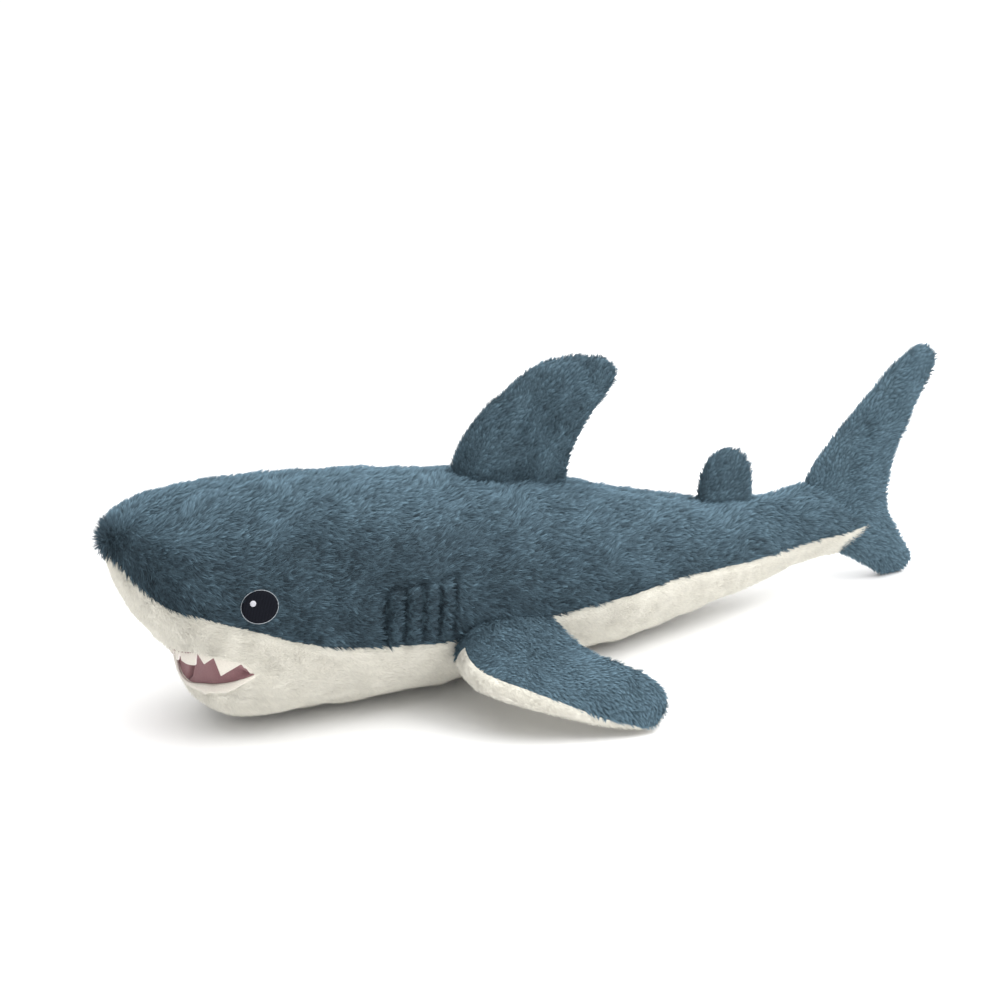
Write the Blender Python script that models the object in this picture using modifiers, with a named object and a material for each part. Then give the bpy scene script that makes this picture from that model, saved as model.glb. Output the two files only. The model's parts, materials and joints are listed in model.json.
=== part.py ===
"""Plush shark lying on its belly: nose towards -X, tail towards +X, +Z up, left flank at -Y.

Every sewn panel, stuffing body, felt piece and eye is its own object. The fins, the rear body,
the tail fin and the lower jaw are separate groups that turn about the seams they are sewn on.
Lengths are written in millimetres and scaled to metres by MM.
"""
import math

import bmesh
import bpy
import numpy as np
from mathutils import Matrix, Vector

MM = 0.001

# Cloth and gaps
SKIN = 2.4              # plush cloth with its backing
FIN_SKIN = 1.7          # the same cloth, flattened between the fin's seams
GAP = 0.4               # between pieces that touch
FELT = 1.2
LINING = 1.4

# Cutting blocks: each reaches past the shark on every side it isn't meant to cut
BLOCK_HALF_WIDTH = 90
BLOCK_HALF_LENGTH = 300
BLOCK_BOTTOM, BLOCK_TOP = -20, 160
FIN_BLOCK_DEPTH = 60
FIN_BLOCK_MARGIN = 20

# Body sections: x, bottom, top, half width. The belly is pressed flat where it passes below zero.
BODY = (
    (-257, 110, 121, 6),
    (-253, 93, 127, 17),
    (-245, 73, 131, 31),
    (-231, 52, 134, 43),
    (-219, 28, 135.5, 48),
    (-206, 8, 136, 51),
    (-188, 0, 135, 53.5),
    (-160, -2, 131, 56),
    (-130, -3, 127, 57.5),
    (-95, -3, 121, 58),
    (-55, -3, 113.5, 56),
    (-15, -2, 106, 51.5),
    (25, 1, 97, 46),
    (65, 5, 84.5, 38),
    (105, 9, 71, 29),
    (145, 15, 61, 20),
    (180, 19, 56, 13),
    (215, 24, 50, 8),
)
WIDEST = 0.48           # height of the widest point, as a share of the section's height
ROUNDNESS = 2.2         # superellipse exponent of a section
BODY_RING = 24

# Side seam between the blue back and the white belly: x, z
SIDE_SEAM = (
    (-275, 112), (-256, 104), (-250, 99), (-236, 90), (-219, 84), (-200, 76), (-179, 63),
    (-152, 51), (-118, 46), (-86, 44), (43, 43), (90, 40), (136, 37), (215, 41),
)

# Mouth: a wedge open to the front, its point at the jaw hinge behind the corners
JAW_X, JAW_Z = -194, 45
ROOF_ANGLE = -14        # degrees below straight ahead
FLOOR_ANGLE = 31
THROAT_ANGLE = 98
THROAT_GAP = 9
JAW_CLEARANCE = 2.0     # empty radius round the jaw hinge
WEDGE_REACH = 80

# Rear body: turns side to side about an upright axis
STOCK_X = 66
STOCK_RADIUS = 40
# Tail fin: turns about the slanted line where it is sewn on
TAIL_TOP = (172, 66)
TAIL_BOTTOM = (198, 20)
TAIL_SOCKET = 10.5
MOVING_GAP = 1.0

# Fin sections: distance from the hinge line, front edge, rear edge, half thickness, sag
DORSAL = (
    (-7, -28, 28, 2.5, 0),
    (-4, -32, 32, 6, 0),
    (0, -34, 34, 7.5, 0),
    (15, -27, 37, 7.5, 0),
    (36, -14, 45, 6.5, 0),
    (52, 1, 51, 5.5, 0),
    (60, 12, 50, 4.5, 0),
    (65, 24, 42, 2.5, 0),
)
SECOND_DORSAL = (
    (-5.5, -13, 13, 2, 0),
    (-3, -16, 16, 4.5, 0),
    (0, -17, 17, 5.5, 0),
    (10, -17, 14, 5.5, 0),
    (19, -15, 8, 4.5, 0),
    (25, -11, 1, 2.5, 0),
)
PECTORAL = (
    (-8, -28, 28, 3, 0),
    (-4.5, -34, 34, 7, 0),
    (0, -37, 37, 8.5, 0),
    (12, -32, 40, 8.5, 3),
    (26, -25, 45, 8, 6),
    (42, -13, 50, 7, 6),
    (57, 3, 50, 5.5, 2),
    (65, 17, 43, 3, -1),
)
# Tail fin sections from the upper tip down: height, front edge, rear edge, half thickness
CAUDAL = (
    (142.5, 240, 253, 2.5),
    (134, 228, 257, 4.5),
    (116, 211, 252, 6),
    (92, 193, 243, 7),
    (72, 179, 236, 8),
    (58, 178, 233, 8.5),
    (42, 186, 233, 8.5),
    (26, 196, 241, 7.5),
    (12, 211, 250, 6),
    (4, 221, 250, 4.5),
    (1, 227, 245, 2.5),
)
DORSAL_FRONT, DORSAL_REAR = -56, 12
SECOND_FRONT, SECOND_REAR = 98, 134
PEC_FRONT, PEC_REAR = (-82, 66, 38), (-8, 60, 36)
PEC_DROOP = 0.52
FIN_RING = 14
LEAST_HALF = 0.8        # half thickness kept where the stuffing runs out
LEAST = 0.2             # share of the outline kept where the stuffing runs out
TEARDROP = 0.35         # how far the thickest point sits ahead of the middle

# Felt strips: half width, depth, from the mouth corner to the middle
TEETH = (
    (45.5, 1.5), (43.5, 1.8), (40, 8), (37.5, 2), (33, 7), (29, 2), (22, 9.5), (15, 2), (7, 9), (0, 2),
)
LIP = ((46, 1.5), (38, 3.5), (20, 5), (0, 5))
TEETH_INSET = 4
LIP_INSET = 2
STRIP_STEPS = 3
LINING_INSET = 6
LINING_START = 5

# Eyes: half sizes and place
EYE = (9.2, 8.5, 1.2)
EYE_X, EYE_Z = -192, 85
EYE_THREAD = 0.5
GLINT = (1.9, 1.9, 0.35)
GLINT_PLACE = (-3.4, 2.2)     # forward, up

# Gill stitches
GILL_XS = (-125, -115, -105, -95, -86)
GILL_LOW, GILL_HIGH = 50, 78
GILL_THREAD = 0.7

# Colours, as linear light
BLUE = (0.072, 0.13, 0.175)
FIN_BLUE = (0.066, 0.122, 0.165)
WHITE = (0.66, 0.65, 0.58)
FELT_WHITE = (0.74, 0.70, 0.62)
MAUVE = (0.22, 0.125, 0.13)
EYE_BLACK = (0.012, 0.014, 0.02)
THREAD_GREY = (0.24, 0.27, 0.30)
THREAD_BLUE = (0.02, 0.035, 0.05)
HIGHLIGHT = (0.72, 0.72, 0.75)
FILL = (0.8, 0.8, 0.78)


def clear_scene():
    for obj in list(bpy.data.objects):
        bpy.data.objects.remove(obj, do_unlink=True)


def new_collection(name):
    collection = bpy.data.collections.new(name)
    bpy.context.scene.collection.children.link(collection)
    return collection


clear_scene()
PARTS = new_collection("plush_shark")
CUTTERS = new_collection("cutters")


# ---------------------------------------------------------------- materials

def cloth(name, colour, roughness):
    """A dull material; returned again when the name was used before."""
    material = bpy.data.materials.get(name)
    if material:
        return material
    material = bpy.data.materials.new(name)
    material.use_nodes = True
    shader = material.node_tree.nodes["Principled BSDF"]
    shader.inputs["Base Color"].default_value = (*colour, 1)
    shader.inputs["Roughness"].default_value = roughness
    shader.inputs["Metallic"].default_value = 0
    material.diffuse_color = (*colour, 1)
    return material


def blue_plush():
    return cloth("blue_plush", BLUE, 0.95)


def fin_plush():
    return cloth("fin_plush", FIN_BLUE, 0.95)


def white_plush():
    return cloth("white_plush", WHITE, 0.95)


def white_felt():
    return cloth("white_felt", FELT_WHITE, 0.9)


def mouth_cloth():
    return cloth("mouth_cloth", MAUVE, 0.85)


def stuffing():
    return cloth("polyester_stuffing", FILL, 1.0)


def eye_black():
    return cloth("eye_black", EYE_BLACK, 0.35)


def eye_thread():
    return cloth("eye_thread", THREAD_GREY, 0.6)


def gill_thread():
    return cloth("gill_thread", THREAD_BLUE, 0.8)


def eye_white():
    return cloth("eye_white", HIGHLIGHT, 0.4)


# ---------------------------------------------------------------- mesh tools

def finish(obj, name, material, smooth_angle=40):
    """Names the object and its mesh, gives it its material and rounds its shading."""
    obj.name = name
    obj.data.name = name
    obj.data.materials.clear()
    obj.data.materials.append(material)
    obj.data.shade_smooth()
    obj.data.set_sharp_from_angle(angle=math.radians(smooth_angle))
    return obj


def mesh_object(name, points, faces, collection):
    mesh = bpy.data.meshes.new(name)
    mesh.from_pydata([Vector(p) for p in points], [], faces)
    mesh.validate()
    obj = bpy.data.objects.new(name, mesh)
    collection.objects.link(obj)
    face_outwards(mesh)
    return obj


def face_outwards(mesh):
    """Splits every face into triangles, so offset copies match, and turns them all outwards."""
    shape = bmesh.new()
    shape.from_mesh(mesh)
    bmesh.ops.triangulate(shape, faces=shape.faces)
    bmesh.ops.recalc_face_normals(shape, faces=shape.faces)
    shape.to_mesh(mesh)
    shape.free()


def loft(name, rings, collection):
    """One closed body through a row of equal rings, with a flat face at each end."""
    count = len(rings[0])
    points = [p for ring in rings for p in ring]
    faces = [tuple(range(count)), tuple((len(rings) - 1) * count + i for i in range(count))]
    for row in range(len(rings) - 1):
        for i in range(count):
            j = (i + 1) % count
            faces.append((row * count + i, row * count + j, (row + 1) * count + j, (row + 1) * count + i))
    return mesh_object(name, points, faces, collection)


UPRIGHT = Matrix.Identity(4)                        # outline in X, Y; depth along Z
SIDEWAYS = Matrix.Rotation(math.pi / 2, 4, "X")     # outline in X, Z; depth along -Y
ALONG_CHORD = Matrix(((0, 0, 1, 0), (0, 1, 0, 0), (1, 0, 0, 0), (0, 0, 0, 1)))   # outline in Z, Y


def prism(name, outline, low, high, frame):
    """A cutter: a flat outline given depth from low to high, then turned by the frame."""
    curve = bpy.data.curves.new(name, "CURVE")
    curve.dimensions = "2D"
    curve.fill_mode = "BOTH"
    curve.extrude = (high - low) / 2 * MM
    spline = curve.splines.new("POLY")
    spline.points.add(len(outline) - 1)
    for point, (u, v) in zip(spline.points, outline):
        point.co = (u * MM, v * MM, 0, 1)
    spline.use_cyclic_u = True
    flat = bpy.data.objects.new(name, curve)
    CUTTERS.objects.link(flat)
    mesh = bpy.data.meshes.new_from_object(flat)
    bpy.data.objects.remove(flat, do_unlink=True)
    mesh.transform(frame @ Matrix.Translation((0, 0, (high + low) / 2 * MM)))
    weld(mesh)
    face_outwards(mesh)
    cutter = bpy.data.objects.new(name, mesh)
    CUTTERS.objects.link(cutter)
    cutter.hide_render = True
    cutter.display_type = "WIRE"
    return cutter


def weld(mesh):
    shape = bmesh.new()
    shape.from_mesh(mesh)
    bmesh.ops.remove_doubles(shape, verts=shape.verts, dist=0.01 * MM)
    shape.to_mesh(mesh)
    shape.free()


def copy_of(obj):
    twin = bpy.data.objects.new(obj.name, obj.data.copy())
    twin.matrix_world = obj.matrix_world.copy()
    PARTS.objects.link(twin)
    return twin


def apply_modifiers(obj):
    depsgraph = bpy.context.evaluated_depsgraph_get()
    mesh = bpy.data.meshes.new_from_object(obj.evaluated_get(depsgraph))
    obj.modifiers.clear()
    obj.data = mesh
    weld(mesh)


def cut(obj, operation, cutter):
    """Keeps what is inside the cutter (INTERSECT) or outside it (DIFFERENCE)."""
    boolean = obj.modifiers.new(operation, "BOOLEAN")
    boolean.operation = operation
    boolean.solver = "EXACT"
    boolean.object = cutter
    apply_modifiers(obj)
    return obj


def shrunk(obj, depth):
    """A copy whose surface lies depth inside the first one's."""
    twin = copy_of(obj)
    displace = twin.modifiers.new("inset", "DISPLACE")
    displace.strength = -depth * MM
    displace.mid_level = 0
    apply_modifiers(twin)
    return twin


def hollow(outer, inner):
    """The wall between two closed surfaces."""
    wall = copy_of(outer)
    return cut(wall, "DIFFERENCE", inner)


def to_cutters(obj):
    PARTS.objects.unlink(obj)
    CUTTERS.objects.link(obj)
    obj.hide_render = True
    obj.display_type = "WIRE"
    return obj


def drop(*objects):
    for obj in objects:
        bpy.data.objects.remove(obj, do_unlink=True)


# ---------------------------------------------------------------- body surface

def smooth_table(table, x):
    """A row of the table at x, on a curve that passes through every row without overshooting."""
    rows = np.array(table, float)
    xs, values = rows[:, 0], rows[:, 1:]
    slopes = np.gradient(values, xs, axis=0)
    i = int(np.clip(np.searchsorted(xs, x) - 1, 0, len(xs) - 2))
    step = xs[i + 1] - xs[i]
    u = (x - xs[i]) / step
    return (
        (2 * u**3 - 3 * u**2 + 1) * values[i]
        + (u**3 - 2 * u**2 + u) * step * slopes[i]
        + (3 * u**2 - 2 * u**3) * values[i + 1]
        + (u**3 - u**2) * step * slopes[i + 1]
    )


def body_ring(x, bottom, top, half_width):
    """One section of the body, flattened where it would pass through the floor."""
    middle = bottom + WIDEST * (top - bottom)
    ring = []
    for i in range(BODY_RING):
        angle = 2 * math.pi * i / BODY_RING
        side, up = math.sin(angle), math.cos(angle)
        half_height = top - middle if up > 0 else middle - bottom
        y = math.copysign(abs(side) ** (2 / ROUNDNESS), side) * half_width
        z = middle + math.copysign(abs(up) ** (2 / ROUNDNESS), up) * half_height
        ring.append((x * MM, y * MM, max(z, 0) * MM))
    return ring


def side_y(x, z, inset=0):
    """Half width of the body at a place on its side."""
    bottom, top, half_width = smooth_table(BODY, x)
    middle = bottom + WIDEST * (top - bottom)
    half_height = (top - middle if z > middle else middle - bottom) - inset
    share = min(abs((z - middle) / half_height), 1)
    return (half_width - inset) * (1 - share**ROUNDNESS) ** (1 / ROUNDNESS)


def body_solid():
    return loft("body", [body_ring(*station) for station in BODY], PARTS)


# ---------------------------------------------------------------- cutters

def radial(angle, reach):
    """A point round the jaw hinge; the angle runs from straight ahead downwards."""
    a = math.radians(angle)
    return (JAW_X - reach * math.cos(a), JAW_Z - reach * math.sin(a))


def across_body(name, outline):
    """A block with this side view, right across the body."""
    return prism(name, outline, -BLOCK_HALF_WIDTH, BLOCK_HALF_WIDTH, SIDEWAYS)


def wedge(name, start, end, reach=WEDGE_REACH, clearance=0.0):
    """A sector round the jaw hinge, right across the body."""
    middle = (start + end) / 2
    point = radial(middle, clearance)
    corners = [radial(a, reach) for a in (start, middle, end)]
    return across_body(name, [point, *corners])


def white_side():
    """Everything below the side seam."""
    below = [(SIDE_SEAM[-1][0], BLOCK_BOTTOM), (SIDE_SEAM[0][0], BLOCK_BOTTOM)]
    lowered = [(x, z - GAP / 2) for x, z in SIDE_SEAM]
    return across_body("white_side", lowered + below)


def blue_side():
    """Everything above the side seam."""
    above = [(SIDE_SEAM[-1][0], BLOCK_TOP), (SIDE_SEAM[0][0], BLOCK_TOP)]
    raised = [(x, z + GAP / 2) for x, z in SIDE_SEAM]
    return across_body("blue_side", raised + above)


def lengthwise(front, rear):
    """The side view of a block between two stations."""
    return [(front, BLOCK_BOTTOM), (rear, BLOCK_BOTTOM), (rear, BLOCK_TOP), (front, BLOCK_TOP)]


def half_space(name, side):
    """Everything on one side of the middle, left at -1 and right at +1."""
    depths = sorted((-side * GAP / 2, -side * BLOCK_HALF_WIDTH))
    return prism(name, lengthwise(-BLOCK_HALF_LENGTH, BLOCK_HALF_LENGTH), *depths, SIDEWAYS)


def behind_hinge(name, radius):
    """Seen along the hinge: a half disc in front of it and all that lies behind it."""
    steps = 12
    arc = [math.pi / 2 + math.pi * i / steps for i in range(steps + 1)]
    disc = [(radius * math.cos(a), radius * math.sin(a)) for a in arc]
    wide, rear = BLOCK_HALF_WIDTH, BLOCK_HALF_LENGTH
    outline = [(0, wide), *disc, (0, -wide), (rear, -wide), (rear, wide)]
    return prism(name, outline, -BLOCK_TOP, BLOCK_TOP, UPRIGHT)


def stock_cutter(name, radius):
    cutter = behind_hinge(name, radius)
    cutter.data.transform(Matrix.Translation((STOCK_X * MM, 0, 0)))
    return cutter


def tail_hinge():
    """Middle of the tail's hinge line and its direction, pointing down."""
    top = Vector((TAIL_TOP[0], 0, TAIL_TOP[1]))
    bottom = Vector((TAIL_BOTTOM[0], 0, TAIL_BOTTOM[1]))
    return (top + bottom) / 2, (bottom - top).normalized()


def socket_cutter():
    middle, down = tail_hinge()
    cutter = behind_hinge("tail_socket", TAIL_SOCKET)
    across = Vector((0, 1, 0))
    frame = Matrix((down.cross(across), across, -down)).transposed()
    cutter.data.transform(Matrix.Translation(middle * MM) @ frame.to_4x4())
    return cutter


# ---------------------------------------------------------------- body pieces

def body_pieces():
    """Panels and stuffing of the trunk, the rear body and the lower jaw."""
    outer = body_solid()
    inner = to_cutters(shrunk(outer, SKIN))
    core = shrunk(outer, SKIN + GAP)
    wall = hollow(outer, inner)
    blue, white = blue_side(), white_side()
    left, right = half_space("left", -1), half_space("right", 1)
    rear = stock_cutter("rear", STOCK_RADIUS)
    rear_gap = stock_cutter("rear_gap", STOCK_RADIUS + MOVING_GAP)
    socket = socket_cutter()
    mouth = wedge("mouth", ROOF_ANGLE, THROAT_ANGLE + THROAT_GAP)
    jaw = wedge("jaw", FLOOR_ANGLE, THROAT_ANGLE, clearance=JAW_CLEARANCE)

    def piece(name, source, keep, remove, material):
        obj = copy_of(source)
        for cutter in keep:
            cut(obj, "INTERSECT", cutter)
        for cutter in remove:
            cut(obj, "DIFFERENCE", cutter)
        return finish(obj, name, material)

    piece("back_panel_left", wall, (blue, left), (rear_gap,), blue_plush())
    piece("back_panel_right", wall, (blue, right), (rear_gap,), blue_plush())
    piece("rear_back_panel_left", wall, (blue, left, rear), (socket,), blue_plush())
    piece("rear_back_panel_right", wall, (blue, right, rear), (socket,), blue_plush())
    piece("rear_belly_panel", wall, (white, rear), (socket,), white_plush())
    front = across_body("front", lengthwise(-BLOCK_HALF_LENGTH, JAW_X))
    behind = across_body("behind", lengthwise(JAW_X + GAP, BLOCK_HALF_LENGTH))
    piece("snout_panel", wall, (white, front), (mouth,), white_plush())
    piece("belly_panel", wall, (white, behind), (mouth, rear_gap), white_plush())
    piece("chin_panel", wall, (jaw,), (), white_plush())
    piece("body_stuffing", core, (), (mouth, rear_gap), stuffing())
    piece("rear_stuffing", core, (rear,), (socket,), stuffing())
    jaw_core = wedge("jaw_core", FLOOR_ANGLE + 1, THROAT_ANGLE - 1, clearance=JAW_CLEARANCE + 3)
    piece("jaw_stuffing", core, (jaw_core,), (), stuffing())
    drop(outer, wall, core)


# ---------------------------------------------------------------- fins

def lens_ring(distance, front, rear, half, sag):
    """One section of a fin: a teardrop from the front edge to the rear edge."""
    ring = []
    for i in range(FIN_RING):
        angle = 2 * math.pi * i / FIN_RING
        along = front + (rear - front) * (1 - math.cos(angle)) / 2
        across = half * math.sin(angle) * (1 + TEARDROP * math.cos(angle)) + sag
        ring.append((along * MM, across * MM, distance * MM))
    return ring


def fin_solid(name, sections, edge=0.0, face=0.0, gap=0.0):
    """A fin's body, smaller by edge all round its outline, by face on each side, then by gap."""
    first, last = sections[0][0], sections[-1][0]
    outward = math.copysign(1, last - first)
    ends = (first + outward * (face + gap), last - outward * (edge + gap))
    rings = []
    for distance, front, rear, half, sag in sections:
        moved = float(np.interp(outward * distance, (outward * first, outward * last), ends))
        middle = (front + rear) / 2
        reach = max((rear - front) / 2 - edge, (rear - front) * LEAST) - gap
        thin = max(half - face, LEAST_HALF) - gap
        rings.append(lens_ring(moved, middle - reach, middle + reach, thin, sag))
    return loft(name, rings, PARTS)


def fin_half(name, sections, side):
    """Everything on one side of a fin's middle surface."""
    outward = math.copysign(FIN_BLOCK_MARGIN, sections[-1][0] - sections[0][0])
    middle = [(d, sag + side * GAP / 2) for d, _, _, _, sag in sections]
    middle = [(middle[0][0] - outward, middle[0][1]), *middle, (middle[-1][0] + outward, middle[-1][1])]
    far = side * FIN_BLOCK_DEPTH
    outline = middle + [(middle[-1][0], far), (middle[0][0], far)]
    return prism(name, outline, -BLOCK_HALF_LENGTH, BLOCK_HALF_LENGTH, ALONG_CHORD)


def fin(name, sections, frame, panels):
    """Two sewn panels over their stuffing; panels gives (suffix, side, material) for each."""
    outer = fin_solid(name, sections)
    inner = to_cutters(fin_solid(name + "_inner", sections, 3 * FIN_SKIN, FIN_SKIN))
    wall = hollow(outer, inner)
    for suffix, side, material in panels:
        panel = copy_of(wall)
        cut(panel, "INTERSECT", fin_half(name + suffix, sections, side))
        finish(panel, name + "_panel_" + suffix, material).matrix_world = frame
    core = fin_solid(name + "_core", sections, 3 * FIN_SKIN, FIN_SKIN, GAP)
    finish(core, name + "_stuffing", stuffing()).matrix_world = frame
    drop(outer, wall)


def frame_on(front, rear, span):
    """Hinge frame: origin midway, X from front to rear along the hinge, Z close to span."""
    front, rear = Vector(front), Vector(rear)
    x = (rear - front).normalized()
    y = Vector(span).cross(x).normalized()
    axes = Matrix((x, y, x.cross(y))).transposed().to_4x4()
    return Matrix.Translation((front + rear) / 2 * MM) @ axes


def hinge_height(x, half):
    """Height of a fin's hinge line over the back."""
    return smooth_table(BODY, x)[1] + half + MOVING_GAP


def upright_fins():
    both = (("left", -1, fin_plush()), ("right", 1, fin_plush()))
    front = (DORSAL_FRONT, 0, hinge_height(DORSAL_FRONT, 7.5))
    rear = (DORSAL_REAR, 0, hinge_height(DORSAL_REAR, 7.5))
    fin("dorsal_fin", DORSAL, frame_on(front, rear, (0, 0, 1)), both)
    front = (SECOND_FRONT, 0, hinge_height(SECOND_FRONT, 5.5))
    rear = (SECOND_REAR, 0, hinge_height(SECOND_REAR, 5.5))
    fin("second_dorsal_fin", SECOND_DORSAL, frame_on(front, rear, (0, 0, 1)), both)


def pectoral_fins():
    for word, side in (("left", -1), ("right", 1)):
        front = (PEC_FRONT[0], side * PEC_FRONT[1], PEC_FRONT[2])
        rear = (PEC_REAR[0], side * PEC_REAR[1], PEC_REAR[2])
        frame = frame_on(front, rear, (0, side, -PEC_DROOP))
        sections = [(*section[:4], side * section[4]) for section in PECTORAL]
        faces = (("top", -side, fin_plush()), ("underside", side, white_plush()))
        fin("pectoral_fin_" + word, sections, frame, faces)


def tail_fin():
    middle, _ = tail_hinge()
    sections = [
        (z - middle.z, front - middle.x, rear - middle.x, half, 0) for z, front, rear, half in CAUDAL
    ]
    both = (("left", -1, fin_plush()), ("right", 1, fin_plush()))
    fin("tail_fin", sections, Matrix.Translation(middle * MM), both)


# ---------------------------------------------------------------- mouth pieces

def rim_reach(y, angle, inset):
    """How far ahead of the jaw hinge a plane through it leaves the body at this half width."""
    near, far = 0.0, WEDGE_REACH / 2
    for _ in range(30):
        reach = (near + far) / 2
        x, z = radial(angle, reach)
        if side_y(x, z, inset) > abs(y):
            near = reach
        else:
            far = reach
    return near


def strip(name, outline, angle, inset, base, upwards, material):
    """A felt strip on edge along the mouth's rim; outline gives (half width, depth) to the middle."""
    mirrored = [(-y, depth) for y, depth in outline if y > 0]
    stops = mirrored + [(y, depth) for y, depth in reversed(outline)]
    points = []
    for (y0, d0), (y1, d1) in zip(stops, stops[1:]):
        for step in range(STRIP_STEPS):
            share = step / STRIP_STEPS
            points.append((y0 + (y1 - y0) * share, d0 + (d1 - d0) * share))
    points.append(stops[-1])
    low, high = [], []
    for y, depth in points:
        x, z = radial(angle, rim_reach(y, angle, inset))
        low.append((x * MM, y * MM, (z + upwards * base) * MM))
        high.append((x * MM, y * MM, (z + upwards * (base + depth)) * MM))
    count = len(points)
    faces = [(i, i + 1, count + i + 1, count + i) for i in range(count - 1)]
    obj = mesh_object(name, low + high, faces, PARTS)
    thicken = obj.modifiers.new("thickness", "SOLIDIFY")
    thicken.thickness = FELT * MM
    thicken.offset = 0
    apply_modifiers(obj)
    return finish(obj, name, material)


def lining_slab(name, solid, angle, upwards):
    """Cloth lying on one face of the mouth wedge."""
    low, high = GAP, GAP + LINING
    inner, outer = radial(angle, LINING_START), radial(angle, WEDGE_REACH)
    outline = [
        (inner[0], inner[1] + upwards * low),
        (outer[0], outer[1] + upwards * low),
        (outer[0], outer[1] + upwards * high),
        (inner[0], inner[1] + upwards * high),
    ]
    obj = copy_of(solid)
    cut(obj, "INTERSECT", across_body(name + "_slab", outline))
    return finish(obj, name, mouth_cloth())


def mouth_pieces():
    body = body_solid()
    inside = shrunk(body, LINING_INSET)
    lining_slab("mouth_lining_upper", inside, ROOF_ANGLE, -1)
    lining_slab("mouth_lining_lower", inside, FLOOR_ANGLE, 1)
    strip("upper_teeth", TEETH, ROOF_ANGLE, TEETH_INSET, GAP, -1, white_felt())
    strip("lower_lip", LIP, FLOOR_ANGLE, LIP_INSET, GAP, 1, white_felt())
    drop(body, inside)


# ---------------------------------------------------------------- eyes and gills

def surface_frame(x, z, side):
    """On the flank: origin on the surface, Z straight out of it, Y close to up."""
    step = 1.0
    slope_x = (side_y(x + step, z) - side_y(x - step, z)) / (2 * step)
    slope_z = (side_y(x, z + step) - side_y(x, z - step)) / (2 * step)
    out = Vector((-slope_x, side, -slope_z)).normalized()
    across = Vector((0, 0, 1)).cross(out).normalized()
    axes = Matrix((across, out.cross(across), out)).transposed().to_4x4()
    return Matrix.Translation(Vector((x, side * side_y(x, z), z)) * MM) @ axes


def button(name, sizes, place, material):
    """A flattened ball."""
    shape = bmesh.new()
    bmesh.ops.create_uvsphere(shape, u_segments=16, v_segments=6, radius=MM)
    mesh = bpy.data.meshes.new(name)
    shape.to_mesh(mesh)
    shape.free()
    mesh.transform(Matrix.Diagonal((*sizes, 1)))
    obj = bpy.data.objects.new(name, mesh)
    PARTS.objects.link(obj)
    finish(obj, name, material).matrix_world = place
    return obj


def thread(name, points, radius, closed, material):
    """A round thread through the points."""
    curve = bpy.data.curves.new(name, "CURVE")
    curve.dimensions = "3D"
    curve.bevel_depth = radius * MM
    curve.bevel_resolution = 1
    curve.use_fill_caps = True
    spline = curve.splines.new("POLY")
    spline.points.add(len(points) - 1)
    for point, place in zip(spline.points, points):
        point.co = (*(Vector(place) * MM), 1)
    spline.use_cyclic_u = closed
    drawn = bpy.data.objects.new(name, curve)
    PARTS.objects.link(drawn)
    depsgraph = bpy.context.evaluated_depsgraph_get()
    mesh = bpy.data.meshes.new_from_object(drawn.evaluated_get(depsgraph))
    drop(drawn)
    weld(mesh)
    face_outwards(mesh)
    obj = bpy.data.objects.new(name, mesh)
    PARTS.objects.link(obj)
    return finish(obj, name, material)


def eye_ring():
    steps = 20
    half_width, half_height = EYE[0] + EYE_THREAD + 0.3, EYE[1] + EYE_THREAD + 0.3
    angles = [2 * math.pi * i / steps for i in range(steps)]
    return [(half_width * math.cos(a), half_height * math.sin(a), 0) for a in angles]


def eyes():
    for word, side in (("left", -1), ("right", 1)):
        surface = surface_frame(EYE_X, EYE_Z, side)
        lift = EYE[2] + GAP
        raised = surface @ Matrix.Translation((0, 0, lift * MM))
        button("eye_" + word, EYE, raised, eye_black())
        thread("eye_rim_" + word, eye_ring(), EYE_THREAD, True, eye_thread()).matrix_world = raised
        forward = -side * GLINT_PLACE[0]
        top = lift + EYE[2] + GLINT[2] + GAP / 2
        place = surface @ Matrix.Translation(Vector((forward, GLINT_PLACE[1], top)) * MM)
        button("eye_glint_" + word, GLINT, place, eye_white())


def gills():
    """Rows of tight stitches that draw the flank into pleats."""
    for word, side in (("left", -1), ("right", 1)):
        for number, x in enumerate(GILL_XS, start=1):
            points = []
            for step in range(6):
                z = GILL_LOW + (GILL_HIGH - GILL_LOW) * step / 5
                points.append((x, side * (side_y(x, z) + GILL_THREAD + 3 * GAP), z))
            thread(f"gill_stitch_{word}_{number}", points, GILL_THREAD, False, gill_thread())


# ---------------------------------------------------------------- build

body_pieces()
upright_fins()
pectoral_fins()
tail_fin()
mouth_pieces()
eyes()
gills()
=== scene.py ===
"""Plush shark in a pale studio: cloth skins shaped by simulation, and a pile of fine fibres on each skin."""
import json
import math
from contextlib import contextmanager

import bmesh
import bpy
import numpy as np
from mathutils import Matrix, Vector
from mathutils.bvhtree import BVHTree
from mathutils.kdtree import KDTree


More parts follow.
